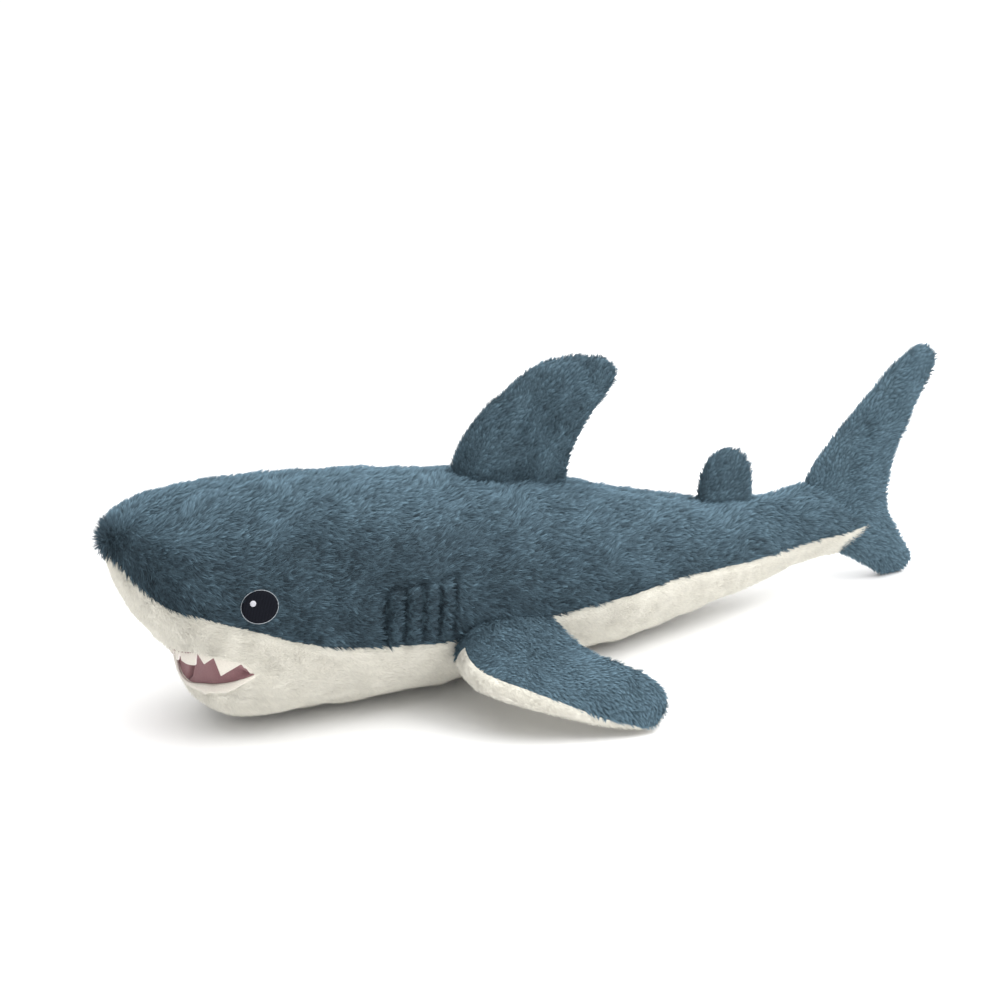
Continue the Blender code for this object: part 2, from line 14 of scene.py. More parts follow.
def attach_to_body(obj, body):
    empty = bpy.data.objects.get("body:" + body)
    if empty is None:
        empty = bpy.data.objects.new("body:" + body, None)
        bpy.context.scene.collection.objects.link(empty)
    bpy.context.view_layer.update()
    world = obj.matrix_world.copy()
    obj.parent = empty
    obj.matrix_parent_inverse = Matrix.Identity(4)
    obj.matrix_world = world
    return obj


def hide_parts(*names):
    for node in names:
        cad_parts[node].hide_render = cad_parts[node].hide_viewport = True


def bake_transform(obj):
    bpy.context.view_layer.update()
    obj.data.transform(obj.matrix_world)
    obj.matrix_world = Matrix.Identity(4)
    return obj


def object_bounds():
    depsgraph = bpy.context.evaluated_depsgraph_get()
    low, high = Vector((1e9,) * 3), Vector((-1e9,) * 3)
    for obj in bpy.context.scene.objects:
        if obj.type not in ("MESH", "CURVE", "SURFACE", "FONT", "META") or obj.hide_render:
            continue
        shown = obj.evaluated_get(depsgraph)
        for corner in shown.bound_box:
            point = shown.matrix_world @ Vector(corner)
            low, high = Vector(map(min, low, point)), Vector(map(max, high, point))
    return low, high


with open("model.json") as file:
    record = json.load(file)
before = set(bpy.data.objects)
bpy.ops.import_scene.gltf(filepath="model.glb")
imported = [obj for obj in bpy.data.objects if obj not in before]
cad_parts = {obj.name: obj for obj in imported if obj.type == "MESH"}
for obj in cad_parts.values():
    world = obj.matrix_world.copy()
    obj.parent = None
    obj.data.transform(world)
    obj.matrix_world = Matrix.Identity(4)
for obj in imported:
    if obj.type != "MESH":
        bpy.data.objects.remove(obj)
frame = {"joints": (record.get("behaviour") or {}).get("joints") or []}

CAD_LOW, CAD_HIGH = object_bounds()

# Every length below is in millimetres at the CAD model's own length
CAD_LENGTH = 513.8
MM = (CAD_HIGH.x - CAD_LOW.x) / CAD_LENGTH
JOINTS = {joint["name"]: joint for joint in frame["joints"]}


def hinge(name):
    """A joint's place in millimetres, and its axis."""
    joint = JOINTS[name]
    return np.array(joint["pos_m"], float) / MM, np.array(joint["axis"], float)


# ---------------------------------------------------------------- dimensions

# Body sections: x, bottom, top, half width
BODY = (
    (-259.5, 111, 115, 2.5),
    (-257, 107, 118.5, 7),
    (-253, 93, 123.5, 17),
    (-245, 73, 128, 31),
    (-231, 52, 131.3, 43),
    (-219, 28, 133.3, 48),
    (-206, 8, 134.5, 51),
    (-188, 2.5, 134.5, 53.5),
    (-160, 2.2, 132.8, 56),
    (-130, 0.5, 129, 57.5),
    (-95, 0, 123.6, 58),
    (-55, 0, 116.5, 56),
    (-15, 0, 107, 51.5),
    (25, 1.5, 96.5, 46),
    (65, 5, 84, 38),
    (90, 8, 77, 33),
    (105, 10.5, 73.4, 29),
    (125, 14, 70, 24.5),
    (145, 18, 69, 20),
    (165, 20.5, 71, 16),
    (180, 21.5, 72.3, 13),
    (215, 24, 73, 8),
)
WIDEST = 0.48                  # height of the widest point, as a share of the section's height
ROUNDNESS = 2.2                # superellipse exponent of a section above its widest point
LOWER_ROUNDNESS = 2.0
SLACK = 1.6                    # the skin starts this much inside the CAD and swells into it
FLOOR_CLEARANCE = 1.2

# Where blue meets white: x, height
SIDE_SEAM = (
    (-275, 112), (-257, 105.5), (-252, 100.2), (-245, 92.5), (-236, 86.4), (-228, 84), (-219, 79.8),
    (-210, 75.8), (-200, 72), (-190, 68.2), (-179, 62.6), (-165, 58), (-152, 54.3), (-135, 50.4),
    (-118, 48.2), (-100, 44), (-75, 43.4), (43, 44), (60, 44.5), (75, 44.1), (90, 42.2), (105, 41),
    (120, 39.2), (136, 38.6), (165, 39), (215, 40),
)

# Mouth: the upper rim as x, height on the body's surface, from the front's middle to the corner
UPPER_RIM = (
    (-231, 51), (-230.3, 53), (-229, 56), (-224.5, 60.5), (-217, 58.5), (-210, 56.5), (-203, 54), (-196, 46),
)
# The jaw from its front to the mouth's corners: x, the rim's half width, its height, the underside's height
JAW = (
    (-218.6, 0, 27.6, 27), (-218.5, 4, 27.8, 26), (-218.2, 7.5, 28.2, 25), (-217.7, 11, 29, 23.6),
    (-216.8, 15.5, 30.6, 21.8), (-215.6, 20, 32.3, 19.6), (-214, 26, 34.4, 16.8), (-211.8, 32.5, 36.6, 14),
    (-208.5, 39, 39.2, 11), (-205, 43.5, 41.5, 8.8), (-201, 47, 43.7, 6.8), (-196, 49.5, 46, 5),
)
CORNER_X = -196
MUZZLE_X = -231
THROAT_X = -165                # behind this the chin's cloth doesn't follow the jaw

# Stations along the body
HEAD_STATIONS = (
    -259.5, -258.4, -257, -255, -253, -250, -246.5, -242.5, -238.5, -234.5, -231.5, -230.3, -229,
    -227, -224.5, -221, -217, -213, -209, -205, -200.5, -196,
)
STEP = 4.6
TAIL_SHEAR_X = 150
TAIL_END_X = 192
# Where the body ends against the tail fin: height, x
TAIL_LINE = (
    (18, 194), (21, 197), (27, 202), (33, 208), (38.5, 213.5),
    (45, 209), (52, 202), (63, 189), (70, 179), (73, 175),
)
ROOT_X = 148                   # behind this the skin bends with the tail fin

BLUE_ROWS, CHEEK_ROWS, BELLY_ROWS = 18, 7, 12


# ---------------------------------------------------------------- body surface

def smooth_rows(table, at):
    """The table's values at each place in at, on a curve through every row."""
    rows = np.array(table, float)
    xs, values = rows[:, 0], rows[:, 1:]
    slopes = np.gradient(values, xs, axis=0)
    at = np.atleast_1d(np.asarray(at, float))
    i = np.clip(np.searchsorted(xs, at) - 1, 0, len(xs) - 2)
    step = (xs[i + 1] - xs[i])[:, None]
    u = (at - xs[i])[:, None] / step
    return (
        (2 * u**3 - 3 * u**2 + 1) * values[i]
        + (u**3 - 2 * u**2 + u) * step * slopes[i]
        + (3 * u**2 - 2 * u**3) * values[i + 1]
        + (u**3 - u**2) * step * slopes[i + 1]
    )


def piecewise(table, x):
    rows = np.array(table, float)
    return np.interp(x, rows[:, 0], rows[:, 1])


def section(x):
    """Middle height, half heights above and below it, and half width of the skin at x."""
    bottom, top, half = smooth_rows(BODY, x)[0]
    bottom, top, half = bottom + SLACK * 0.6, top - SLACK, max(half - SLACK, 0.6)
    top = max(top, bottom + 1.2)
    middle = bottom + WIDEST * (top - bottom)
    return middle, top - middle, middle - bottom, half


def on_section(x, angles):
    """Points on the left half of the section at x; the angle runs from the top down to the bottom."""
    middle, above, below, half = section(x)
    side, up = np.sin(angles), np.cos(angles)
    power = 2 / np.where(up > 0, ROUNDNESS, LOWER_ROUNDNESS)
    reach = np.where(up > 0, above, below)
    y = -np.abs(side) ** power * half
    z = middle + np.sign(up) * np.abs(up) ** power * reach
    return np.c_[np.full(len(y), x), y, np.maximum(z, FLOOR_CLEARANCE)]


def angle_at(x, z):
    """The section's angle where it passes the height z."""
    middle, above, below, _ = section(x)
    share = (z - middle) / (above if z > middle else below)
    share = float(np.clip(share, -1, 1))
    power = (ROUNDNESS if z > middle else LOWER_ROUNDNESS) / 2
    return math.acos(math.copysign(abs(share) ** power, share))


def lengths_along(points):
    """How far along the line each of its points is."""
    return np.r_[0, np.cumsum(np.linalg.norm(np.diff(points, axis=0), axis=1))]


def mirrored(left):
    """A line that ends in the middle plane, with its mirror image on the right."""
    return np.vstack([left, left[-2::-1] * (1, -1, 1)])


def evenly(x, start, stop, count):
    """count + 1 points along the section at x, the same distance apart."""
    fine = np.linspace(start, stop, 160)
    points = on_section(x, fine)
    along = lengths_along(points)
    if along[-1] < 1e-6:
        return np.repeat(points[:1], count + 1, axis=0)
    angles = np.interp(np.linspace(0, along[-1], count + 1), along, fine)
    return on_section(x, angles)


def split_angle(x):
    """Where the cheek's rows end and the belly's begin: the upper rim, then a line along the belly."""
    seam = angle_at(x, piecewise(SIDE_SEAM, x))
    if x <= MUZZLE_X:
        return math.pi
    if x <= CORNER_X:
        return max(angle_at(x, piecewise(UPPER_RIM, x)), seam)
    at_corner = angle_at(CORNER_X, UPPER_RIM[-1][1])
    seam_there = angle_at(CORNER_X, piecewise(SIDE_SEAM, CORNER_X))
    corner_share = (at_corner - seam_there) / (math.pi - seam_there)
    later_share = CHEEK_ROWS / (CHEEK_ROWS + BELLY_ROWS)
    u = min((x - CORNER_X) / 60, 1)
    share = corner_share + (later_share - corner_share) * u * u * (3 - 2 * u)
    return seam + (math.pi - seam) * share


def upper_column(x):
    """The section from the split, over the back, to the split on the right."""
    seam = angle_at(x, piecewise(SIDE_SEAM, x))
    back = evenly(x, 0, seam, BLUE_ROWS)
    cheek = evenly(x, seam, max(split_angle(x), seam), CHEEK_ROWS)
    left = np.vstack([back, cheek[1:]])[::-1]
    return mirrored(left)


def lower_column(x, start):
    """The section from the left split or lower rim, under the belly, to the right."""
    left = evenly(x, start, math.pi, BELLY_ROWS)
    left[-1, 1] = 0
    return mirrored(left)


def sheared(column, x):
    """Near the tail the columns lean until the last one lies along the tail fin's seam."""
    share = max(x - TAIL_SHEAR_X, 0) / (TAIL_END_X - TAIL_SHEAR_X)
    column[:, 0] += share * (piecewise(TAIL_LINE, column[:, 2]) - TAIL_END_X)
    pinch = max(share - 0.8, 0) / 0.2
    column[:, 1] *= 1 - 0.35 * pinch**2
    return column


def jaw_column(x):
    """The jaw's section at x: the shape of the body's own underside at the mouth's corners, made smaller."""
    xs, *columns = np.array(JAW, float).T
    half, rim, bottom = (float(np.interp(x, xs, column)) for column in columns)
    shape = lower_column(CORNER_X, angle_at(CORNER_X, UPPER_RIM[-1][1]))
    wide = np.abs(shape[:, 1]).max()
    low, high = shape[:, 2].min(), shape[:, 2].max()
    share = (shape[:, 2] - low) / (high - low)
    return np.c_[np.full(len(shape), float(x)), shape[:, 1] / wide * half, bottom + share * (rim - bottom)]


def trunk_stations():
    count = round((TAIL_END_X - CORNER_X) / STEP)
    return list(np.linspace(CORNER_X, TAIL_END_X, count + 1))[1:]


def body_mesh():
    """The whole skin as one mesh; each face's material index says which panel it belongs to."""
    stations = list(HEAD_STATIONS) + trunk_stations()
    upper = [sheared(upper_column(x), x) for x in stations]
    points, faces, owners = [p for column in upper for p in column], [], []
    wide = 2 * (BLUE_ROWS + CHEEK_ROWS) + 1
    for k in range(len(stations) - 1):
        for i in range(wide - 1):
            a = k * wide + i
            faces.append((a, a + 1, a + wide + 1, a + wide))
            at_root = stations[k] > ROOT_X
            if CHEEK_ROWS <= i < wide - 1 - CHEEK_ROWS:
                owners.append((0 if i < wide // 2 else 1) + (5 if at_root else 0))
            elif at_root:
                owners.append(7)
            else:
                owners.append(2 if stations[k] < CORNER_X - 0.1 else 3)
    start = len(points)
    spots = [row[0] for row in JAW[:-1]] + [CORNER_X] + trunk_stations()
    below = [jaw_column(x) for x in spots[:len(JAW) - 1]]
    below.append(lower_column(CORNER_X, split_angle(CORNER_X)))
    below += [sheared(lower_column(x, split_angle(x)), x) for x in trunk_stations()]
    narrow = 2 * BELLY_ROWS + 1
    points += [p for column in below for p in column]
    for k in range(len(below) - 1):
        for i in range(narrow - 1):
            a = start + k * narrow + i
            faces.append((a + narrow, a + narrow + 1, a + 1, a))
            owners.append(4 if spots[k] < THROAT_X else 7 if spots[k] > ROOT_X else 3)
    return points, faces, owners


def linked(name, data):
    """A new object in the scene."""
    obj = bpy.data.objects.new(name, data)
    bpy.context.scene.collection.objects.link(obj)
    return obj


def make_object(name, points, faces, owners=None):
    mesh = bpy.data.meshes.new(name)
    mesh.from_pydata([Vector(p) * MM for p in points], [], faces)
    if owners is not None:
        mesh.polygons.foreach_set("material_index", owners)
    return linked(name, mesh)


@contextmanager
def editing(mesh):
    """The mesh opened for editing, and written back at the end."""
    shape = bmesh.new()
    shape.from_mesh(mesh)
    yield shape
    shape.to_mesh(mesh)
    shape.free()
    mesh.update()


def weld(obj, distance):
    """Joins points closer than distance, and turns every face the same way, outwards."""
    with editing(obj.data) as shape:
        bmesh.ops.remove_doubles(shape, verts=shape.verts, dist=distance * MM)
        bmesh.ops.dissolve_degenerate(shape, edges=shape.edges, dist=0.02 * MM)
        loose = [v for v in shape.verts if not v.link_faces]
        bmesh.ops.delete(shape, geom=loose, context="VERTS")
        bmesh.ops.recalc_face_normals(shape, faces=shape.faces)
        top = max(shape.faces, key=lambda f: f.calc_center_median().z)
        if top.normal.z < 0:
            bmesh.ops.reverse_faces(shape, faces=shape.faces)


def points_of(mesh):
    flat = np.empty(len(mesh.vertices) * 3)
    mesh.vertices.foreach_get("co", flat)
    return flat.reshape(-1, 3)


def normals_of(mesh):
    flat = np.empty(len(mesh.vertices) * 3)
    mesh.vertices.foreach_get("normal", flat)
    return flat.reshape(-1, 3)


def move_points(mesh, points):
    mesh.vertices.foreach_set("co", np.ascontiguousarray(points, float).ravel())
    mesh.update()


def applied(obj):
    """Bakes the modifiers into the mesh."""
    depsgraph = bpy.context.evaluated_depsgraph_get()
    mesh = bpy.data.meshes.new_from_object(obj.evaluated_get(depsgraph))
    obj.modifiers.clear()
    obj.data = mesh
    return obj


# ---------------------------------------------------------------- cloth

PRESSURE = 4
STIFFNESS = 12
FRAMES = 20


def inflate(obj, pins, cap):
    """Blows the cloth up from inside; pins is each point's hold, cap the furthest it moves."""
    group = obj.vertex_groups.new(name="pins")
    for level in np.unique(np.round(pins, 1)):
        if level > 0:
            chosen = np.nonzero(np.round(pins, 1) == level)[0]
            group.add([int(i) for i in chosen], float(level), "REPLACE")
    before = points_of(obj.data)
    cloth = obj.modifiers.new("cloth", "CLOTH")
    settings = cloth.settings
    settings.quality = 5
    settings.mass = 0.15
    settings.tension_stiffness = settings.compression_stiffness = STIFFNESS
    settings.shear_stiffness = STIFFNESS / 2
    settings.bending_stiffness = 0.4
    settings.use_pressure = True
    settings.uniform_pressure_force = PRESSURE
    settings.effector_weights.gravity = 0
    settings.vertex_group_mass = "pins"
    cloth.collision_settings.use_collision = False
    cloth.point_cache.frame_start = 1
    cloth.point_cache.frame_end = FRAMES
    for number in range(1, FRAMES + 1):
        bpy.context.scene.frame_set(number)
    applied(obj)
    bpy.context.scene.frame_set(1)
    obj.vertex_groups.clear()
    moved = points_of(obj.data) - before
    length = np.linalg.norm(moved, axis=1)
    shorten = np.minimum(1, cap * MM / np.maximum(length, 1e-9))
    move_points(obj.data, before + moved * shorten[:, None])
    return obj


def subdivided(obj):
    modifier = obj.modifiers.new("smooth", "SUBSURF")
    modifier.levels = modifier.render_levels = 1
    modifier.boundary_smooth = "PRESERVE_CORNERS"
    return applied(obj)


# ---------------------------------------------------------------- small relief of the skin

GILL_XS = (-125, -115, -105, -95, -86)
GILL_LOW, GILL_HIGH = 50, 78
GILL_MIDDLE = (GILL_LOW + GILL_HIGH) / 2
GILL_SLANT = 0.06              # how far the rows of stitches lean back, as a share of the height
FLANK_Y = 20                   # the gills lie further out than this
PLEAT_DEPTH, PLEAT_WIDTH = 3.2, 1.5
PUFF_HEIGHT, PUFF_WIDTH = 1.6, 3.2
GATHER_DEPTH, GATHER_WIDTH = 2.0, 2.2
SEAM_DEPTH, SEAM_WIDTH = 0.9, 2.4
RIDGE_DEPTH, RIDGE_WIDTH = 1.1, 2.0
SOCKET_DEPTH, SOCKET_RADIUS, SOCKET_WIDTH = 1.5, 4, 9
EYE_X, EYE_Z = -192, 84.5
EYE_WIDE, EYE_TALL = 9.6, 8.7
# Layers of smooth variation: strength, size of the lumps, channel
SKIN_LUMPS = ((0.7, 34, 1), (0.35, 15, 2))
FIN_LUMPS = ((0.45, 22, 3), (0.25, 9, 4))
SWIRLS = ((0.62, 26, 5), (0.5, 11, 6), (0.3, 5, 7))
TONE_PATCHES = ((0.07, 20, 1), (0.06, 7, 2))
FRAY = ((0.45, 2.2, 4), (0.5, 6, 2))

NOISE_RNG = np.random.default_rng(11)
NOISE_WAVES = NOISE_RNG.normal(size=(24, 3))
NOISE_WAVES /= np.linalg.norm(NOISE_WAVES, axis=1)[:, None]
NOISE_PHASES = NOISE_RNG.uniform(0, 2 * math.pi, 24)


def ripple(points, size, channel=0):
    """Smooth variation in space, from about -1 to 1, with lumps of roughly the given size."""
    waves = np.roll(NOISE_WAVES, channel * 5, axis=0)[:10]
    phases = np.roll(NOISE_PHASES, channel * 7)[:10]
    stretch = np.linspace(0.7, 1.5, 10)[:, None]
    angles = points @ (waves * stretch * math.pi / size).T + phases
    return np.sin(angles).sum(1) / 3.2


def ripples(points, layers):
    return sum(strength * ripple(points, size, channel) for strength, size, channel in layers)


def bell(distance, width):
    return np.exp(-(distance / width) ** 2)


def fade_in(value, start, span):
    """0 up to start, 1 from start + span on; a negative span falls the other way."""
    return np.clip((value - start) / span, 0, 1)


def gill_lean(z):
    return (z - GILL_MIDDLE) * GILL_SLANT


def gill_relief(points):
    """Pleats pulled in by five rows of stitches, and the puffs between them."""
    x, z = points[:, 0], points[:, 2]
    height = fade_in(z - GILL_LOW, -3, 5) * fade_in(z, GILL_HIGH + 4, -5)
    lean = gill_lean(z)
    relief = np.zeros(len(x))
    for line in GILL_XS:
        relief -= PLEAT_DEPTH * bell(x - line - lean, PLEAT_WIDTH)
    for low, high in zip(GILL_XS, GILL_XS[1:]):
        relief += PUFF_HEIGHT * bell(x - (low + high) / 2 - lean, PUFF_WIDTH)
    across = fade_in(x, -131, 4) * fade_in(x, -80, -4)
    gather = -GATHER_DEPTH * bell(z - GILL_HIGH - 3, GATHER_WIDTH) * across
    return (relief * height + gather) * (np.abs(points[:, 1]) > FLANK_Y)


def relief(points):
    """How far each point of the body's skin stands out, in millimetres."""
    x, y, z = points.T
    seam = piecewise(SIDE_SEAM, x)
    out = -SEAM_DEPTH * bell(z - seam, SEAM_WIDTH) * (np.abs(y) > 4) * (x < 180)
    out -= RIDGE_DEPTH * bell(y, RIDGE_WIDTH) * (z > seam + 20) * (x < 165)
    out += ripples(points, SKIN_LUMPS)
    from_eye = np.hypot(x - EYE_X, z - EYE_Z)
    out -= SOCKET_DEPTH * bell(from_eye - SOCKET_RADIUS, SOCKET_WIDTH) * (np.abs(y) > 25)
    return out + gill_relief(points)


# ---------------------------------------------------------------- pieces of skin

def split_off(obj, name, owner):
    """The faces of one panel as an object of their own."""
    mesh = obj.data.copy()
    with editing(mesh) as shape:
        others = [f for f in shape.faces if f.material_index != owner]
        bmesh.ops.delete(shape, geom=others, context="FACES")
        for face in shape.faces:
            face.material_index = 0
            face.smooth = True
    mesh.name = name
    return linked(name, mesh)


def thicken(obj, thickness):
    """Gives a skin the cloth's own thickness, inwards."""
    solid = obj.modifiers.new("cloth", "SOLIDIFY")
    solid.thickness = thickness * MM
    solid.offset = -1
    solid.use_rim = True
    applied(obj)
    obj.data.set_sharp_from_angle(angle=SHARP_ANGLE)


def relaxed(obj, chosen, rounds):
    """Evens out the chosen points among their neighbours; open edges stay where they are."""
    every_way = dict(use_axis_x=True, use_axis_y=True, use_axis_z=True)
    with editing(obj.data) as shape:
        free = [v for v, wanted in zip(shape.verts, chosen) if wanted and not v.is_boundary]
        for _ in range(rounds):
            bmesh.ops.smooth_vert(shape, verts=free, factor=0.5, **every_way)


def refine_gills(obj):
    """Finer faces where the gill pleats are."""
    with editing(obj.data) as shape:
        edges = set()
        for face in shape.faces:
            c = face.calc_center_median() / MM
            if -136 < c.x < -76 and 40 < c.z < 90 and abs(c.y) > FLANK_Y:
                edges.update(face.edges)
        bmesh.ops.subdivide_edges(shape, edges=list(edges), cuts=1, use_grid_fill=True)
        bmesh.ops.triangulate(shape, faces=[f for f in shape.faces if len(f.verts) > 4])


# How firmly the body's cloth is held while it swells: along the seam and the ridge, and at both ends
SEAM_HOLD, RIDGE_HOLD = 0.8, 0.7
HELD_FRONT_X, HELD_REAR_X = -222, 160
BODY_SWELL, FIN_SWELL = 2.6, 2.2   # the furthest the cloth moves outwards
SHARP_ANGLE = math.radians(50)
# The muzzle's cloth is evened out more than the rest
MUZZLE_FRONT_X, MUZZLE_REAR_X, MUZZLE_TOP_Z = -241, -214, 88
SETTLED_FROM_X = -250


def body_skin():
    points, faces, owners = body_mesh()
    obj = make_object("body_form", points, faces, owners)
    weld(obj, 0.03)
    at = points_of(obj.data) / MM
    x, y, z = at.T
    pins = np.zeros(len(at))
    pins[np.abs(z - piecewise(SIDE_SEAM, x)) < 1.0] = SEAM_HOLD
    pins[(x < HELD_FRONT_X) | (x > HELD_REAR_X)] = 1.0
    pins[(np.abs(y) < 1) & (z > 60)] = RIDGE_HOLD
    pins[z < FLOOR_CLEARANCE + 1.5] = 1.0
    mouth_edge = (x < CORNER_X + 3) & (z < 64) & (z > 20)
    pins[mouth_edge] = 1.0
    inflate(obj, pins, BODY_SWELL)
    x, _, z = (points_of(obj.data) / MM).T
    relaxed(obj, (x > MUZZLE_FRONT_X) & (x < MUZZLE_REAR_X) & (z < MUZZLE_TOP_Z), 3)
    relaxed(obj, x > SETTLED_FROM_X, 1)
    subdivided(obj)
    refine_gills(obj)
    at, out = points_of(obj.data), normals_of(obj.data)
    moved = at + out * (relief(at / MM) * MM)[:, None]
    moved[:, 2] = np.maximum(moved[:, 2], FLOOR_CLEARANCE * MM * 0.8)
    move_points(obj.data, moved)
    return obj


# ---------------------------------------------------------------- fins

# Distance from the hinge line, front edge, rear edge, half thickness, sag
DORSAL = (
    (-18, -40, 37, 6, 0), (-8, -41, 36.5, 8.5, 0), (0, -41, 35.5, 9, 0), (8, -39.5, 35.5, 9, 0),
    (15, -37, 37.5, 8.5, 0), (31, -27.5, 43.5, 7.5, 0), (44, -16.5, 51, 6.5, 0), (52, -8, 54.5, 5.8, 0),
    (58, 1, 54, 4.8, 0), (61.5, 9.5, 51, 3.8, 0), (63.5, 21, 45.5, 2.7, 0),
)
SECOND_DORSAL = (
    (-12, -19.5, 21, 4.5, 0), (-4, -20.5, 20.5, 5.5, 0), (6, -21.5, 17.5, 5.5, 0), (12, -21.5, 15.5, 5, 0),
    (18, -20.5, 12, 4.2, 0), (23, -16.5, 6.5, 3.2, 0), (26, -11.5, 1, 2.2, 0),
)
PECTORAL = (
    (-22, -26, 22, 9, -1), (-14, -36, 26, 12.5, -2), (-6, -41, 28, 13.5, -2.5), (2, -43.5, 30, 13, -2),
    (12, -44.5, 32.5, 11, 1), (21, -43, 37, 10, 3.5), (30, -37, 45, 9, 5.5), (38, -28.5, 52, 8.3, 6),
    (46, -16, 57.5, 7.3, 5.5), (53, -2.5, 59, 6.4, 4), (60, 12.5, 56.5, 5.2, 2), (64, 24, 51.5, 4, 0.8),
    (66, 33, 45.5, 2.6, 0.3),
)
# Share of the pectoral fin's chord where its pale underside wraps round the front edge
PALE_EDGE = ((-22, 0.02), (0, 0.03), (12, 0.05), (24, 0.085), (35, 0.11), (46, 0.11), (55, 0.08), (66, 0.03))
PALE_FROM = -9                 # nearer the root than this the blue cloth wraps round the front instead
# Height, front x, rear x, half thickness
CAUDAL = (
    (1.5, 233, 247, 2.5), (3, 228, 252, 3.5), (8, 219.5, 254.5, 5), (14, 211, 251.5, 6.5), (22, 198, 246, 8),
    (30, 188, 241, 9), (41, 180, 234.5, 9.5), (51, 175, 231.5, 9.5), (60, 171.5, 231.5, 9),
    (72, 170, 234, 8.5),
    (80, 174.5, 236.5, 8), (90, 182.5, 240.5, 7.5), (100, 192, 244.5, 7), (114, 206.5, 251, 6.3),
    (122, 215, 255.5, 5.8), (130, 223.5, 259.5, 5.2), (136, 230.5, 261, 4.6), (142, 237, 259.5, 3.6),
    (145.5, 243, 254.5, 2.4),
)
FIN_STEP = 4.2
FIN_COLUMNS = 15
PALE_COLUMNS = 2
TEARDROP = 0.35
FIN_SLACK = 1.2
FIN_FULLNESS = 0.85            # exponent of a fin's section
PLAIN_EDGE = 0.14              # where the finer columns end on a fin of one colour, as a share of its chord
CAP_STEP, CAP_WIDTH = 1.6, 0.72    # a fin's end: how far it goes on, and how much narrower it is


def fin_axes(joint, span, forwards=1):
    """A fin's frame: origin on its hinge, X from front to rear along it, Z close to span."""
    place, axis = hinge(joint)
    x = axis * forwards
    y = np.cross(span, x)
    y /= np.linalg.norm(y)
    return place, np.array((x, y, np.cross(x, y)))


def fin_rows(sections):
    first, last = sections[0][0], sections[-1][0]
    count = round((last - first) / FIN_STEP)
    return np.linspace(first, last, count + 1)


def fin_form(name, sections, place, axes, closed_start=False, pale_side=0):
    """Two faces of cloth that meet along the fin's edge. Owner 0 is the +Y face and 1 the -Y face.

    Where pale_side isn't 0, that face's cloth also wraps round the front edge onto the other face.
    """
    rows = fin_rows(sections)
    table = smooth_rows(sections, rows)
    columns = []
    for distance, (front, rear, half, sag) in zip(rows, table):
        pale = piecewise(PALE_EDGE, distance) if pale_side else PLAIN_EDGE
        front_shares = np.linspace(0, pale, PALE_COLUMNS + 1)
        shares = np.r_[front_shares, np.linspace(pale, 1, FIN_COLUMNS - PALE_COLUMNS + 1)[1:]]
        angle = np.arccos(1 - 2 * shares)
        profile = np.sin(angle) ** FIN_FULLNESS * (1 + TEARDROP * np.cos(angle))
        along = front + FIN_SLACK / 2 + (rear - front - FIN_SLACK) * shares
        columns.append((distance, along, max(half - FIN_SLACK, 0.8) * profile, sag))

    def cap(row, step):
        distance, along, _, sag = row
        middle = along.mean()
        return (distance + step, middle + (along - middle) * CAP_WIDTH, np.zeros_like(along), sag)

    columns.append(cap(columns[-1], CAP_STEP))
    if closed_start:
        columns.insert(0, cap(columns[0], -CAP_STEP))
    points, faces, owners = [], [], []
    wide = FIN_COLUMNS + 1
    for side in (1, -1):
        start = len(points)
        for distance, along, thick, sag in columns:
            for u, t in zip(along, thick):
                local = np.array((u, side * t + sag, distance))
                points.append(place + local @ axes)
        for k in range(len(columns) - 1):
            for i in range(wide - 1):
                a = start + k * wide + i
                faces.append((a, a + 1, a + wide + 1, a + wide))
                at_root = columns[k][0] < PALE_FROM
                wraps = pale_side and i < PALE_COLUMNS + at_root
                wrapped = -pale_side if at_root else pale_side
                owners.append(0 if (wrapped if wraps else side) == 1 else 1)
    return make_object(name, points, faces, owners)


def fin_skin(name, sections, place, axes, closed_start=False, pale_side=0):
    obj = fin_form(name, sections, place, axes, closed_start, pale_side)
    weld(obj, 0.02)
    shape = bmesh.new()
    shape.from_mesh(obj.data)
    pins = np.zeros(len(shape.verts))
    for edge in shape.edges:
        owners = {face.material_index for face in edge.link_faces}
        if len(owners) == 2 or len(edge.link_faces) == 1:
            for vert in edge.verts:
                pins[vert.index] = 1.0
    shape.free()
    inflate(obj, pins, FIN_SWELL)
    subdivided(obj)
    at, out = points_of(obj.data), normals_of(obj.data)
    bumps = ripples(at / MM, FIN_LUMPS)
    move_points(obj.data, at + out * (bumps * MM)[:, None])
    return obj


# ---------------------------------------------------------------- materials

